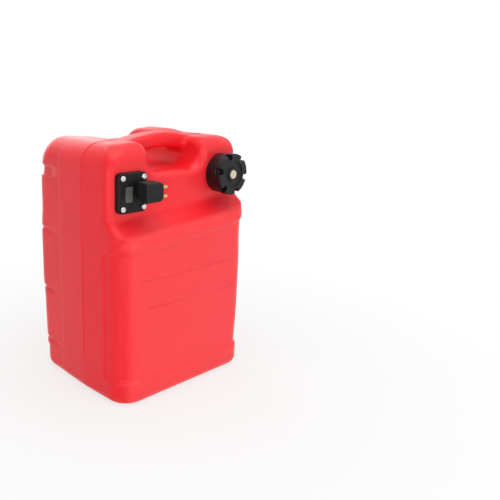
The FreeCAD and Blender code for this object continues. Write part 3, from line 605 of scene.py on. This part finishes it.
def red_polyethylene():
    """Self-coloured satin plastic: faint cloudiness in the colour and the sheen, fine grain, painted light
    that makes the front face and recess paler, and painted shade along the front creases.
    """
    finish = Finish("red_polyethylene")
    cloud = finish.noise(11.0, 3.0, 0.55)
    patch = finish.noise(5.0)
    fine = finish.noise(2600.0, 2.0, 0.6)
    streak = finish.noise(60.0, 4.0, 0.6, 0.4)
    x, y, z = finish.coordinates("XYZ")
    crease = 0.0
    for height, x0, x1 in front_creases:
        away = finish.math("ABSOLUTE", z - height - crease_wander * finish.noise(14.0))
        line = finish.ramp(away, *crease_edge, 1.0, 0.0)
        reach = finish.ramp(x, x0, x0 + crease_run_out) * finish.ramp(x, x1 - crease_run_out, x1, 1.0, 0.0)
        crease = crease + line * reach * finish.ramp(y, *crease_y, 1.0, 0.0)
    # Painted light: the front face and the recess are drawn paler red, as if more lit, the amount varied by
    # a random patch
    recess = finish.ramp(y, *recess_painted_light_front_y) * finish.ramp(y, *recess_painted_light_back_y, recess_painted_light, 0.0)
    facing = finish.ramp(y, *front_painted_light_y, 1.0, 0.0) + recess
    painted_light = facing * finish.ramp(finish.math("ABSOLUTE", x), *painted_light_side_x, 1.0, 0.0)
    colour = finish.mottle(cloud, red_deep, red_bright)
    colour = finish.mix(painted_light * (0.75 + 0.5 * patch), colour, red_painted_light)
    crease = crease * finish.ramp(streak, 0.36, 0.58, 0.1, 1.0)
    # Painted shade: the crease lines are darkened as if shade lay in them
    colour = finish.mix(crease_shade * crease, colour, crease_shade_red)
    grain = finish.ramp(fine, 0.25, 0.75)
    return finish.set(
        Base_Color=colour, Roughness=0.27 + 0.07 * cloud + 0.05 * fine, IOR=1.5,
        Specular_IOR_Level=0.28, Subsurface_Weight=0.08, Subsurface_Scale=1.0,
        Subsurface_Radius=(0.006, 0.0015, 0.0012),
        Normal=finish.bump(grain + 1.5 * streak + 6.0 * crease, 0.00012, 0.55))


red_plastic = red_polyethylene()
body_span = ((-half_width, front_y, 0.0), (half_width, back_y, bar_crown))
tank_body = add_skin("tank_body", body_field, skin_cell, body_span)
cut_away(tank_body, [add_skin("tank_lining", lining_field, lining_cell, body_span)] + [
    add_plug(name, (x, recess_y - bore_reach, z), (x, recess_y + bore_reach, z), radius, bore_sides)
    for name, (x, z), radius in (("filler_bore", filler_place, filler_bore_radius),
                                 ("gauge_port", gauge_place, gauge_port_radius))
])
coat(tank_body, red_plastic)
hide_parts("tank_shell", "handle_bar")
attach(tank_body, "tank")

# ---- Parting flash ---------------------------------------
# The thin bead of red plastic left where the two halves of the mould closed on the body.  It
# runs up both flanks and over the shoulders, and dies out where the bar has been trimmed clean.

flash_half_width = 0.0009
flash_proud = 0.0006
flash_sunk = 0.0012
flash_shape = (  # corners of its section: side, share of the height, depth sunk
    (-1.0, 0.0, flash_sunk), (-1.0, 0.2, 0.0), (-0.45, 1.0, 0.0),
    (0.45, 1.0, 0.0), (1.0, 0.2, 0.0), (1.0, 0.0, flash_sunk),
)
flash_centre = np.array((0.0, parting_y, 0.28))
flash_search = 0.4  # rays towards this centre start this far out,
flash_lowest_turn = 148.0  # up to so many degrees either side of straight up
flash_samples = 620
flash_bar_sunk = 0.0004  # along the bar it lies this far under the skin,
flash_bar_x = (0.056, 0.078)  # and comes out of it between these
flash_foot_z = (0.045, 0.060)
witness_low = np.array((0.021, -0.09, 0.399))  # a short bead, seen from in front between these,
witness_high = np.array((0.029, -0.09, 0.413))  # lies on the front of the bar
witness_arc = (0.1, 0.9)  # its height follows this part of a half wave
witness_samples = 12
landing_steps = 90
landing_share = 0.9


def land_on_skin(start, way):
    """Where points that travel a given way first meet the body.

    Each steps on by the field's own distance, so that it stops at the skin."""
    for step in range(landing_steps):
        start = start + landing_share * body_field(*start.T)[:, None] * way
    return start


def add_bead(name, path, outward, sideways, height):
    """A bead along an open path on the skin, capped at both ends: each corner of its section is
    the path, plus a share of the half width sideways and of the height, less its depth, outwards."""
    return add_tube(name, np.stack([
        path + side * flash_half_width * np.array(sideways) + (share * height - sunk)[:, None] * outward
        for side, share, sunk in flash_shape], 1))


flash_turns = np.radians(np.linspace(-flash_lowest_turn, flash_lowest_turn, flash_samples))
flash_ray = np.stack([np.sin(flash_turns), 0 * flash_turns, np.cos(flash_turns)], 1)
flash_path = land_on_skin(flash_centre + flash_search * flash_ray, -flash_ray)
flash_run = np.gradient(flash_path, axis=0)
flash_out = np.stack([-flash_run[:, 2], 0 * flash_turns, flash_run[:, 0]], 1)
flash_out = flash_out / np.linalg.norm(flash_out, axis=1, keepdims=True)
flash_height = between(-flash_bar_sunk, flash_proud, ease(np.abs(flash_path[:, 0]), *flash_bar_x))
flash_height = flash_height * ease(flash_path[:, 2], *flash_foot_z)
parting_flash = add_bead("parting_flash", flash_path, flash_out, (0, 1, 0), flash_height)
witness_share = np.linspace(0.0, 1.0, witness_samples)[:, None]
witness_path = land_on_skin(between(witness_low, witness_high, witness_share), np.array((0.0, 1.0, 0.0)))
witness_height = flash_proud * np.sin(np.pi * np.linspace(*witness_arc, witness_samples))
bar_witness = add_bead("bar_witness", witness_path, np.array((0, -1, 0)), (1, 0, 0), witness_height)
for trace in (parting_flash, bar_witness):
    coat(trace, red_plastic)
    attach(trace, "tank")

# ---- Filler neck -----------------------------------------
# The threaded neck and the flat seat round it, spun and cut in the same red plastic and welded
# into the recess.  One coarse ridge winds round it for the cap.

neck_radius = 0.0265
neck_bore_radius = 0.0230
neck_rim_y = recess_y - 0.018
neck_root_radius = 0.0248
seat_radius = 0.031
seat_front_y = recess_y - 0.002
seat_sunk = 0.0008
bore_edge = ((0.0, 0.0006), (0.0002, 0.0001), (0.0006, 0.0))  # each edge's points, as steps out
rim_edge = ((-0.0008, 0.0), (-0.0002, 0.0003))  # and back from its sharp corner
seat_root = ((0.0004, -0.0003), (0.0012, 0.0))
seat_edge = ((-0.0008, 0.0), (-0.0002, 0.0003), (0.0, 0.0008))
thread_proud = 0.0014
thread_pitch = 0.004
thread_start_y = neck_rim_y + 0.0022
thread_end_y = neck_rim_y + 0.0120
thread_run_out = 0.002
thread_flank = (0.0, 0.75)  # the wave's heights between which a flank rises
thread_margin = 0.001
thread_rows = 48
neck_sides = 144


def spun_profile(name, place, radii, depths, sides):
    """A closed profile of radius and depth spun round an axis along y.

    The radius may be a column, the same all round, or a grid with a value at each turn."""
    turn = full_turn(sides)
    radii = np.broadcast_to(radii, (len(depths), sides))
    depths = np.broadcast_to(np.asarray(depths)[:, None], radii.shape)
    rings = np.stack([place[0] + radii * np.cos(turn), depths, place[1] + radii * np.sin(turn)], 2)
    return add_tube(name, rings, closed=True)


def edge_points(corner, steps):
    """Points of a profile at given steps from one of its corners."""
    return [(corner[0] + out, corner[1] + back) for out, back in steps]


def helical_ridge(turn, y):
    """Height of one coarse thread: a flat-topped wave of y less the pitch times the turn's share,
    faded in and out at the two ends of the thread."""
    phase = (y - thread_start_y) / thread_pitch - turn / (2 * np.pi)
    wave = ease(np.cos(2 * np.pi * phase), *thread_flank)
    ends = ease(y, thread_start_y, thread_start_y + thread_run_out)
    return thread_proud * wave * ends * (1.0 - ease(y, thread_end_y - thread_run_out, thread_end_y))


thread_y = np.linspace(neck_rim_y + thread_margin, seat_front_y - thread_margin, thread_rows)
neck_profile = np.array(
    [(neck_bore_radius, recess_y + wall)]
    + edge_points((neck_bore_radius, neck_rim_y), bore_edge)
    + edge_points((neck_radius, neck_rim_y), rim_edge)
    + [(neck_radius, y) for y in thread_y]
    + edge_points((neck_radius, seat_front_y), seat_root)
    + edge_points((seat_radius, seat_front_y), seat_edge)
    + [(seat_radius, recess_y + seat_sunk), (neck_root_radius, recess_y + seat_sunk),
       (neck_root_radius, recess_y + wall)])
neck_threaded = np.isclose(neck_profile[:, :1], neck_radius, rtol=0.0)
neck_radii = neck_profile[:, :1] + neck_threaded * helical_ridge(full_turn(neck_sides), neck_profile[:, 1:])
filler_neck = spun_profile("filler_neck", filler_place, neck_radii, neck_profile[:, 1], neck_sides)
coat(filler_neck, red_plastic)
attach(filler_neck, "tank")

# ---- Gauge flange ----------------------------------------
# Black glass-filled nylon: the square plate, spigot and lugs are one injection moulding that
# carries the drum, the float and the elbow.  It keeps the shape it has in the frame.


def black_nylon(name, low, high, roughness):
    """Moulded black plastic: a fine spark-eroded grain and slightly uneven sheen."""
    finish = Finish(name)
    grain = finish.noise(1900.0, 2.0, 0.6)
    haze = finish.noise(55.0, 3.0, 0.5)
    return finish.set(
        Base_Color=finish.mottle(haze, low, high), IOR=1.5, Specular_IOR_Level=0.22,
        Roughness=roughness + 0.10 * grain + 0.06 * haze,
        Normal=finish.bump(finish.ramp(grain, 0.2, 0.8), 0.00008, 0.5))


def dress(material, *solids):
    """Give solids of the frame their finish."""
    for name in solids:
        coat(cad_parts[name], material)


dress(black_nylon("flange_nylon", (9, 10, 10), (15, 16, 15), 0.36), "gauge_flange")

# ---- Rubber seals and brass inserts ----------------------
# Flat nitrile gaskets under the flange and the cap, a washer under the vent screw and a ring
# under the elbow, with the knurled brass inserts that the flange screws bite into.


def nitrile_rubber():
    """Dull black rubber with a powdery bloom."""
    finish = Finish("nitrile_rubber")
    bloom = finish.noise(240.0, 4.0, 0.6)
    return finish.set(
        Base_Color=finish.mottle(bloom, (22, 22, 22), (38, 38, 37), low=0.35),
        Roughness=0.72 + 0.16 * bloom, Specular_IOR_Level=0.3,
        Normal=finish.bump(bloom, 0.00006, 0.5))


def turned_metal(name, dark, bright, axis, roughness, lines=9000.0):
    """Bare metal turned on a lathe: fine rings square to its axis, their wave in radians per
    metre, and patches of dulling."""
    finish = Finish(name)
    along, = finish.coordinates(axis)
    rings = finish.math("SINE", along * lines + 5.0 * finish.noise(500.0))
    tarnish = finish.noise(160.0, 4.0, 0.6)
    return finish.set(
        Base_Color=finish.mottle(tarnish, dark, bright, low=0.35), Metallic=1.0,
        Roughness=roughness + 0.10 * tarnish + 0.03 * rings,
        Normal=finish.bump(rings, 0.000012, 0.5))


dress(nitrile_rubber(), "cap_gasket", "flange_gasket", "elbow_oring", "vent_seal")
dress(turned_metal("insert_brass", (172, 132, 66), (214, 178, 104), "Y", 0.30), "threaded_inserts")

# ---- Level drum and gears --------------------------------
# The cream acetal drum turns behind the window on a steel shaft, through a pinion and a toothed
# sector on the float arm.  Its rim carries plain graduations and a dark field for full.

drum_axis = (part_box("gauge_drum")[0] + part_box("gauge_drum")[1]) / 2
drum_marks = 16.0  # graduations all round the rim
drum_mark_edge = (0.93, 0.96)  # and where their wave turns from cream to black
drum_dark_from = -0.5  # share of half a turn where the dark field starts
drum_dark_to = 0.08
drum_dark_edge = 0.01


def printed_acetal():
    """Cream plastic with printed black graduations round the drum's axis, by angle."""
    finish = Finish("drum_print")
    y, z = finish.coordinates("YZ")
    away = finish.math("ARCTAN2", z - drum_axis.z, drum_axis.y - y)
    share = away * (1.0 / math.pi)
    mark = finish.ramp(finish.math("COSINE", away * drum_marks), *drum_mark_edge)
    dark = finish.ramp(share, drum_dark_from, drum_dark_from + drum_dark_edge)
    dark = dark * (1.0 - finish.ramp(share, drum_dark_to, drum_dark_to + drum_dark_edge))
    cloud = finish.noise(120.0)
    cream = finish.mottle(cloud, (214, 210, 198), (228, 225, 214))
    return finish.set(
        Base_Color=finish.mix(finish.math("MAXIMUM", mark, dark), cream, (34, 34, 34)),
        Roughness=0.38 + 0.08 * cloud)


def plain_acetal():
    """Milky moulded acetal with faint flow marks."""
    finish = Finish("plain_acetal")
    flow = finish.noise(140.0, 3.0, 0.5, 0.8)
    return finish.set(
        Base_Color=finish.mottle(flow, (206, 203, 190), (226, 223, 212)),
        Roughness=0.36 + 0.10 * flow, Subsurface_Weight=0.1,
        Subsurface_Radius=(0.002, 0.002, 0.0015), Normal=finish.bump(flow, 0.00005, 0.4))


dress(printed_acetal(), "gauge_drum")
dress(plain_acetal(), "drum_pinion", "sector_gear", "pickup_strainer")
shaft_steel = turned_metal("shaft_steel", (168, 168, 166), (206, 206, 204), "X", 0.22)
dress(shaft_steel, "drum_shaft", "pivot_pin", "float_arm")

# ---- Float and pick-up hose ------------------------------
# A closed-cell rubber float on the arm's end, and the nitrile hose that hangs from the flange
# down to the strainer on the bottom of the tank.

foam_cells = 900.0  # cells of the float's foam per metre
weave_lines = 2600.0  # the hose's braid, in radians per metre


def float_rubber():
    """Closed-cell foam: a dark skin pitted with small round cells."""
    finish = Finish("float_rubber")
    cells = finish.add("ShaderNodeTexVoronoi", "Distance", None,
                       {"Vector": finish.place, "Scale": foam_cells})
    patch = finish.noise(90.0, 3.0)
    return finish.set(
        Base_Color=finish.mottle(patch, (74, 72, 68), (96, 93, 88)),
        Roughness=0.82 + 0.1 * patch, Specular_IOR_Level=0.25,
        Normal=finish.bump(cells, 0.0004, 0.6))


def braided_hose():
    """Black fuel hose with the weave of its reinforcement showing faintly through the cover."""
    finish = Finish("fuel_hose")
    x, y, z = finish.coordinates("XYZ")
    run = (z - y) * weave_lines
    weave = finish.math("SINE", run + x * weave_lines) * finish.math("SINE", run - x * weave_lines)
    bloom = finish.noise(300.0, 3.0)
    return finish.set(
        Base_Color=finish.mottle(bloom, (26, 26, 27), (40, 40, 41)),
        Roughness=0.62 + 0.12 * bloom, Normal=finish.bump(weave, 0.00010, 0.5))


dress(float_rubber(), "fuel_float")
dress(braided_hose(), "pickup_tube")

# ---- Gauge window ----------------------------------------
# A smoked clear acrylic lens, pressed into its ledge in the flange, with a polished face and a
# small round on every edge.

lens_low, lens_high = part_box("window_lens")
lens_corner = 0.0008
lens_edge = 0.0005
lens_steps = 6  # points on each quarter circle


def rounded_plate_rings():
    """Rings of points over a plate that faces -y: a rounded oblong outline, drawn in and brought
    back along a quarter circle at the front and at the back edge."""
    turn = np.linspace(0.0, np.pi / 2, lens_steps)
    rise = lens_edge * (1 - np.sin(turn))
    fall = lens_edge * (1 - np.cos(turn))
    depth = np.concatenate([lens_low.y + fall, lens_high.y - rise])
    radius = lens_corner - np.concatenate([rise, fall])[:, None]
    round_turn = (np.arange(4)[:, None] * np.pi / 2 + turn).ravel()
    x, z = [(lens_low[k] + lens_high[k]) / 2 + radius * wave(round_turn)
            + ((lens_high[k] - lens_low[k]) / 2 - lens_corner) * np.repeat(side, lens_steps)
            for k, wave, side in ((0, np.cos, (1, -1, -1, 1)), (2, np.sin, (1, 1, -1, -1)))]
    return np.stack([x, np.broadcast_to(depth[:, None], x.shape), z], 2)


def smoked_acrylic():
    """Clear plastic with a grey smoke to it and a few hairline scratches in the polish."""
    finish = Finish("smoked_acrylic")
    scratch = finish.noise(700.0, 2.0, 0.5, 6.0)
    cloud = finish.noise(80.0)
    return finish.set(
        Base_Color=finish.mottle(cloud, (92, 94, 91), (108, 110, 106)),
        Roughness=finish.ramp(scratch, 0.45, 0.75, 0.06, 0.22), Alpha=0.55, IOR=1.49)


gauge_lens = add_tube("gauge_lens", rounded_plate_rings())
coat(gauge_lens, smoked_acrylic())
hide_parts("window_lens")
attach(gauge_lens, "tank")

# ---- Flange screws ---------------------------------------
# Four stainless pan-head screws with a hexagon socket, driven through the flange into the brass
# inserts.  The heads are low domes with a turned edge.

screw_steel = turned_metal("screw_steel", (196, 196, 194), (234, 234, 232), "Z", 0.22, lines=7000.0)
dress(screw_steel, "flange_screws")

# ---- Outlet elbow ----------------------------------------
# A black nylon block on the flange: a foot, a base plate that drops a little below it, and an
# arm that turns the fuel way to the filler side.  Its edges are softened as moulded.

elbow_low, elbow_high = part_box("outlet_elbow")
flange_front_y = elbow_high.y
elbow_arm_depth = 0.023
elbow_foot_right = elbow_low.x + 0.0215
elbow_foot_drop = 0.003
elbow_foot_bury = (0.008, 0.003)  # how far the foot runs on into the arm and the flange
elbow_crown = 0.0012  # how far the top stands above the foot's
elbow_top_cut = 0.0034  # the top's front edge is cut back this far
elbow_chamfer = 0.0052
elbow_edge = 0.0016
elbow_web = (0.0128, 0.0100)  # the foot's underside slopes up by this run and rise
elbow_cell = 0.0008
elbow_blend = 0.0016
valve_bore_radius = 0.0031
valve_bore_sides = 40
valve_end_wall = 0.0035
valve_bore_over = 0.002  # how far the bore's cutter stands out of the arm's end


def block_distance(place, low, high, radius):
    """Distance to a block between two corners, all of its edges rounded."""
    sides = [np.abs(at - (start + end) / 2) - (end - start) / 2 + radius
             for at, start, end in zip(place, low, high)]
    outside = np.sqrt(sum(np.maximum(side, 0) ** 2 for side in sides))
    return outside + np.minimum(np.maximum.reduce(sides), 0) - radius


def elbow_field(x, y, z):
    """Distance to the elbow: an arm with its end corners and top front edge cut off, run
    together with the foot, and both cut by the slope that carries the underside to the flange."""
    place = (x, y, z)
    arm_back = elbow_low.y + elbow_arm_depth
    floor = elbow_low.z + elbow_foot_drop
    top = elbow_high.z + elbow_crown
    arm = block_distance(
        place, (elbow_low.x, elbow_low.y, floor), (elbow_high.x, arm_back, top), elbow_edge)
    off_middle = np.abs(z - (floor + top) / 2) - (top - floor) / 2
    end_cut = (x - elbow_high.x + off_middle + elbow_chamfer) / math.sqrt(2)
    top_cut = (elbow_low.y - y + z - top + elbow_top_cut) / math.sqrt(2)
    arm = rounded_corner(rounded_corner(arm, end_cut, elbow_edge), top_cut, elbow_edge)
    foot = block_distance(place, (elbow_low.x, arm_back - elbow_foot_bury[0], floor),
                          (elbow_foot_right, flange_front_y + elbow_foot_bury[1], top), elbow_edge)
    run, rise = elbow_web
    under = (rise * (y - flange_front_y + run) - run * (z - floor)) / math.hypot(run, rise)
    body = rounded_corner(flow_together(arm, foot, elbow_blend), under, elbow_edge / 2)
    return np.maximum(body, y - flange_front_y)


elbow_span = (elbow_low, elbow_high + Vector((0.0, 0.0, elbow_crown)))
outlet = add_skin("outlet_elbow_block", elbow_field, elbow_cell, elbow_span)
pin_low, pin_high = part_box("fuel_nipple")
pin_axis = ((pin_low.y + pin_high.y) / 2, (pin_low.z + pin_high.z) / 2)
cut_away(outlet, [
    add_plug("valve_bore", (elbow_low.x + valve_end_wall, *pin_axis),
             (elbow_high.x + valve_bore_over, *pin_axis), valve_bore_radius, valve_bore_sides),
])
coat(outlet, black_nylon("elbow_nylon", (18, 19, 19), (27, 28, 27), 0.38))
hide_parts("outlet_elbow")
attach(outlet, "tank")

# ---- Outlet pins -----------------------------------------
# Two turned brass pins pressed into the elbow's end: the drilled one carries fuel, and the solid
# one lines the push-on connector up.  Each has a locking neck near its tip.

pin_brass = turned_metal("pin_brass", (208, 170, 116), (243, 214, 166), "X", 0.24)
dress(pin_brass, "fuel_nipple", "guide_pin")

# ---- Outlet valve ----------------------------------------
# A stainless ball on a coil spring shuts the outlet when nothing is plugged in.  The spring is
# drawn wire wound round the bore, and the plug's own pin pushes the ball back against it.

spring_low, spring_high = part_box("check_spring")
spring_wire = 0.00035
spring_turns = 7
spring_steps = 24  # points on each turn
spring_sides = 8


def coil_rings():
    """Rings round a helix: its middle climbs at a constant rate along x as its angle grows, and
    each ring's points lie the wire's radius away along the outward way and the way across it."""
    turn = 2 * np.pi * np.arange(spring_turns * spring_steps + 1) / spring_steps
    coil_radius = (spring_high.z - spring_low.z) / 2 - spring_wire
    rise = (spring_high.x - spring_low.x - 2 * spring_wire) / turn[-1]
    outward = np.stack([0 * turn, np.cos(turn), np.sin(turn)], 1)
    middle = np.array([spring_low.x + spring_wire, *pin_axis]) + coil_radius * outward
    middle[:, 0] += rise * turn
    run = np.stack([rise + 0 * turn, -coil_radius * np.sin(turn), coil_radius * np.cos(turn)], 1)
    across = np.cross(run, outward) / np.linalg.norm(run, axis=1)[:, None]
    angle = full_turn(spring_sides)[:, None]
    ring = outward[:, None] * np.cos(angle) + across[:, None] * np.sin(angle)
    return middle[:, None] + spring_wire * ring


dress(shaft_steel, "check_ball")
spring = add_tube("valve_spring", coil_rings())
coat(spring, shaft_steel)
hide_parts("check_spring")
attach(spring, "tank")
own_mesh(spring)

# ---- Filler cap ------------------------------------------
# A black hand-wheel cap: plain skirt, a wheel with six grip notches, and a shallow dish round a
# boss that holds the vent screw.  Moulded in one, with the vent's stem hole through its middle.

cap_front_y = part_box("filler_cap")[0].y
cap_base_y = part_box("filler_cap")[1].y
cap_seat_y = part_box("cap_gasket")[0].y
cap_skirt_radius = 0.0325
cap_wheel_radius = 0.034
cap_wheel_length = 0.013
cap_hollow_radius = 0.0285
cap_dish_radius = 0.022
cap_dish_depth = 0.003
cap_boss_radius = 0.0115
cap_round = 0.0017
cap_back_round = 0.0010  # on the skirt's end and the wheel's back
cap_seat_corner = 0.001
cap_lead_in = 0.0006
skirt_root = ((0.0, 0.0016), (0.0003, 0.0004))  # steps from where the skirt meets the wheel
dish_lip = 0.0008  # roundings in the face, from the rim inwards
dish_root = 0.0012
boss_root = 0.0010
boss_lip = 0.0008
well_lip = 0.0005
vent_well_radius = 0.0076
vent_well_depth = 0.0052
vent_hole_radius = 0.00306
notch_count = 6
notch_phase = math.radians(-12.0)
notch_width = 0.0095
notch_floor_radius = 0.025
notch_length = 0.011
notch_soft = 0.0016
notch_end_soft = 0.0006
notch_end_steps = (0.0004, 0.0, -0.0002, -0.0005, -0.0010)
notch_inner_radius = cap_dish_radius + 0.0016  # inside this the face isn't drawn in
flat_margins = (0.001, 0.0018, 0.0025)  # what the cap's flat runs leave at their ends
cap_sides = 720


def arc_points(corner, way, radius, first, last, steps=4):
    """Points on an arc that rounds a corner of a profile, its two angles in degrees.  Its centre
    lies the radius away from the sharp corner, out and back by the signs of the way."""
    turn = np.radians(np.linspace(first, last, steps))
    return [(corner[0] + radius * (way[0] + math.cos(t)), corner[1] + radius * (way[1] + math.sin(t)))
            for t in turn]


def wheel_outline(turn):
    """Radius of the wheel round its axis: the full radius, less a soft-sided notch wherever the
    distance along the rim from a notch's middle is under half its width."""
    pitch = 2 * np.pi / notch_count
    from_notch = (turn - notch_phase + pitch / 2) % pitch - pitch / 2
    depth = band(cap_wheel_radius * np.sin(from_notch), 0.0, notch_width / 2 - notch_soft / 2, notch_soft)
    return between(cap_wheel_radius, notch_floor_radius, depth)


def cap_profile():
    """The cap's section as radius and depth, from the stem hole round the outside and back."""
    front = cap_front_y
    wheel_back = front + cap_wheel_length
    notch_end = front + notch_length
    dish_floor = front + cap_dish_depth
    well_floor = front + vent_well_depth
    rim_margin, dish_margin, notch_margin = flat_margins
    points = [(vent_hole_radius, cap_seat_y), (cap_hollow_radius - cap_seat_corner, cap_seat_y),
              (cap_hollow_radius, cap_seat_y + cap_seat_corner),
              (cap_hollow_radius, cap_base_y - cap_lead_in), (cap_hollow_radius + cap_lead_in, cap_base_y)]
    points += arc_points((cap_skirt_radius, cap_base_y), (-1, -1), cap_back_round, 90, 0)
    points += edge_points((cap_skirt_radius, wheel_back), skirt_root)
    points += arc_points((cap_wheel_radius, wheel_back), (-1, -1), cap_back_round, 70, 0)
    points += [(cap_wheel_radius, notch_end + step) for step in notch_end_steps]
    points += [(cap_wheel_radius, y)
               for y in np.linspace(notch_end - notch_margin, front + cap_round + rim_margin, 4)]
    points += arc_points((cap_wheel_radius, front), (-1, 1), cap_round, 0, -90, 6)
    rim_flat = (cap_wheel_radius - cap_round - rim_margin, cap_dish_radius + dish_margin)
    points += [(radius, front) for radius in np.linspace(*rim_flat, 5)]
    points += arc_points((cap_dish_radius, front), (1, 1), dish_lip, -90, -180)
    points += arc_points((cap_dish_radius, dish_floor), (-1, -1), dish_root, 0, 90)
    points += arc_points((cap_boss_radius, dish_floor), (1, -1), boss_root, 90, 180)
    points += arc_points((cap_boss_radius, front), (-1, 1), boss_lip, 0, -90)
    points += arc_points((vent_well_radius, front), (1, 1), well_lip, -90, -180, 3)
    points += [(vent_well_radius, well_floor), (vent_hole_radius, well_floor)]
    return np.array(points)


def notched_radii(profile, turn):
    """The profile's radius at each turn: where the wheel is notched, everything between the
    dish's rim and the wheel's rim is drawn in by one factor."""
    radius = profile[:, :1]
    inner = notch_inner_radius
    drawn = (wheel_outline(turn) - inner) / (cap_wheel_radius - inner)
    reach = ease(profile[:, 1:] - cap_front_y, notch_length - notch_end_soft, notch_length)
    return np.where(radius > inner, inner + (radius - inner) * between(drawn, 1.0, reach), radius)


def cap_polypropylene():
    """Black moulded plastic, a little greyer and scuffed in random patches."""
    finish = Finish("cap_polypropylene")
    grain = finish.noise(1500.0, 3.0, 0.6)
    haze = finish.noise(70.0, 3.0, 0.6)
    scuff = finish.ramp(finish.noise(260.0, 4.0, 0.7, 0.5), 0.56, 0.72)
    colour = finish.mottle(haze, (11, 12, 13), (19, 20, 21))
    return finish.set(
        Base_Color=finish.mix(0.35 * scuff, colour, (48, 50, 50)),
        Roughness=0.32 + 0.10 * grain + 0.12 * scuff, Specular_IOR_Level=0.28,
        Normal=finish.bump(grain + 0.6 * haze, 0.00010, 0.5))


cap_section = cap_profile()
cap_radii = notched_radii(cap_section, full_turn(cap_sides))
cap_wheel = spun_profile("cap_wheel", filler_place, cap_radii, cap_section[:, 1], cap_sides)
coat(cap_wheel, cap_polypropylene())
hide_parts("filler_cap")
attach(cap_wheel, "cap")

# ---- Vent screw ------------------------------------------
# A brass disc on a stem through the middle of the cap, unscrewed to let air in.  Its face has
# gone matt and pale with handling.

vent_ring_lines = 14000.0  # turned rings, in radians per metre of radius


def handled_brass():
    """Pale, dull brass: turned rings nearly worn away, blotched by fingers."""
    finish = Finish("handled_brass")
    blotch = finish.noise(420.0, 4.0, 0.6)
    x, z = [at - middle for at, middle in zip(finish.coordinates("XZ"), filler_place)]
    rings = finish.math("SINE", finish.math("SQRT", x * x + z * z) * vent_ring_lines)
    return finish.set(
        Base_Color=finish.mottle(blotch, (203, 188, 158), (226, 214, 190)),
        Metallic=0.75, Roughness=0.40 + 0.15 * blotch + 0.02 * rings,
        Normal=finish.bump(rings, 0.00001, 0.5))


dress(handled_brass(), "vent_screw")
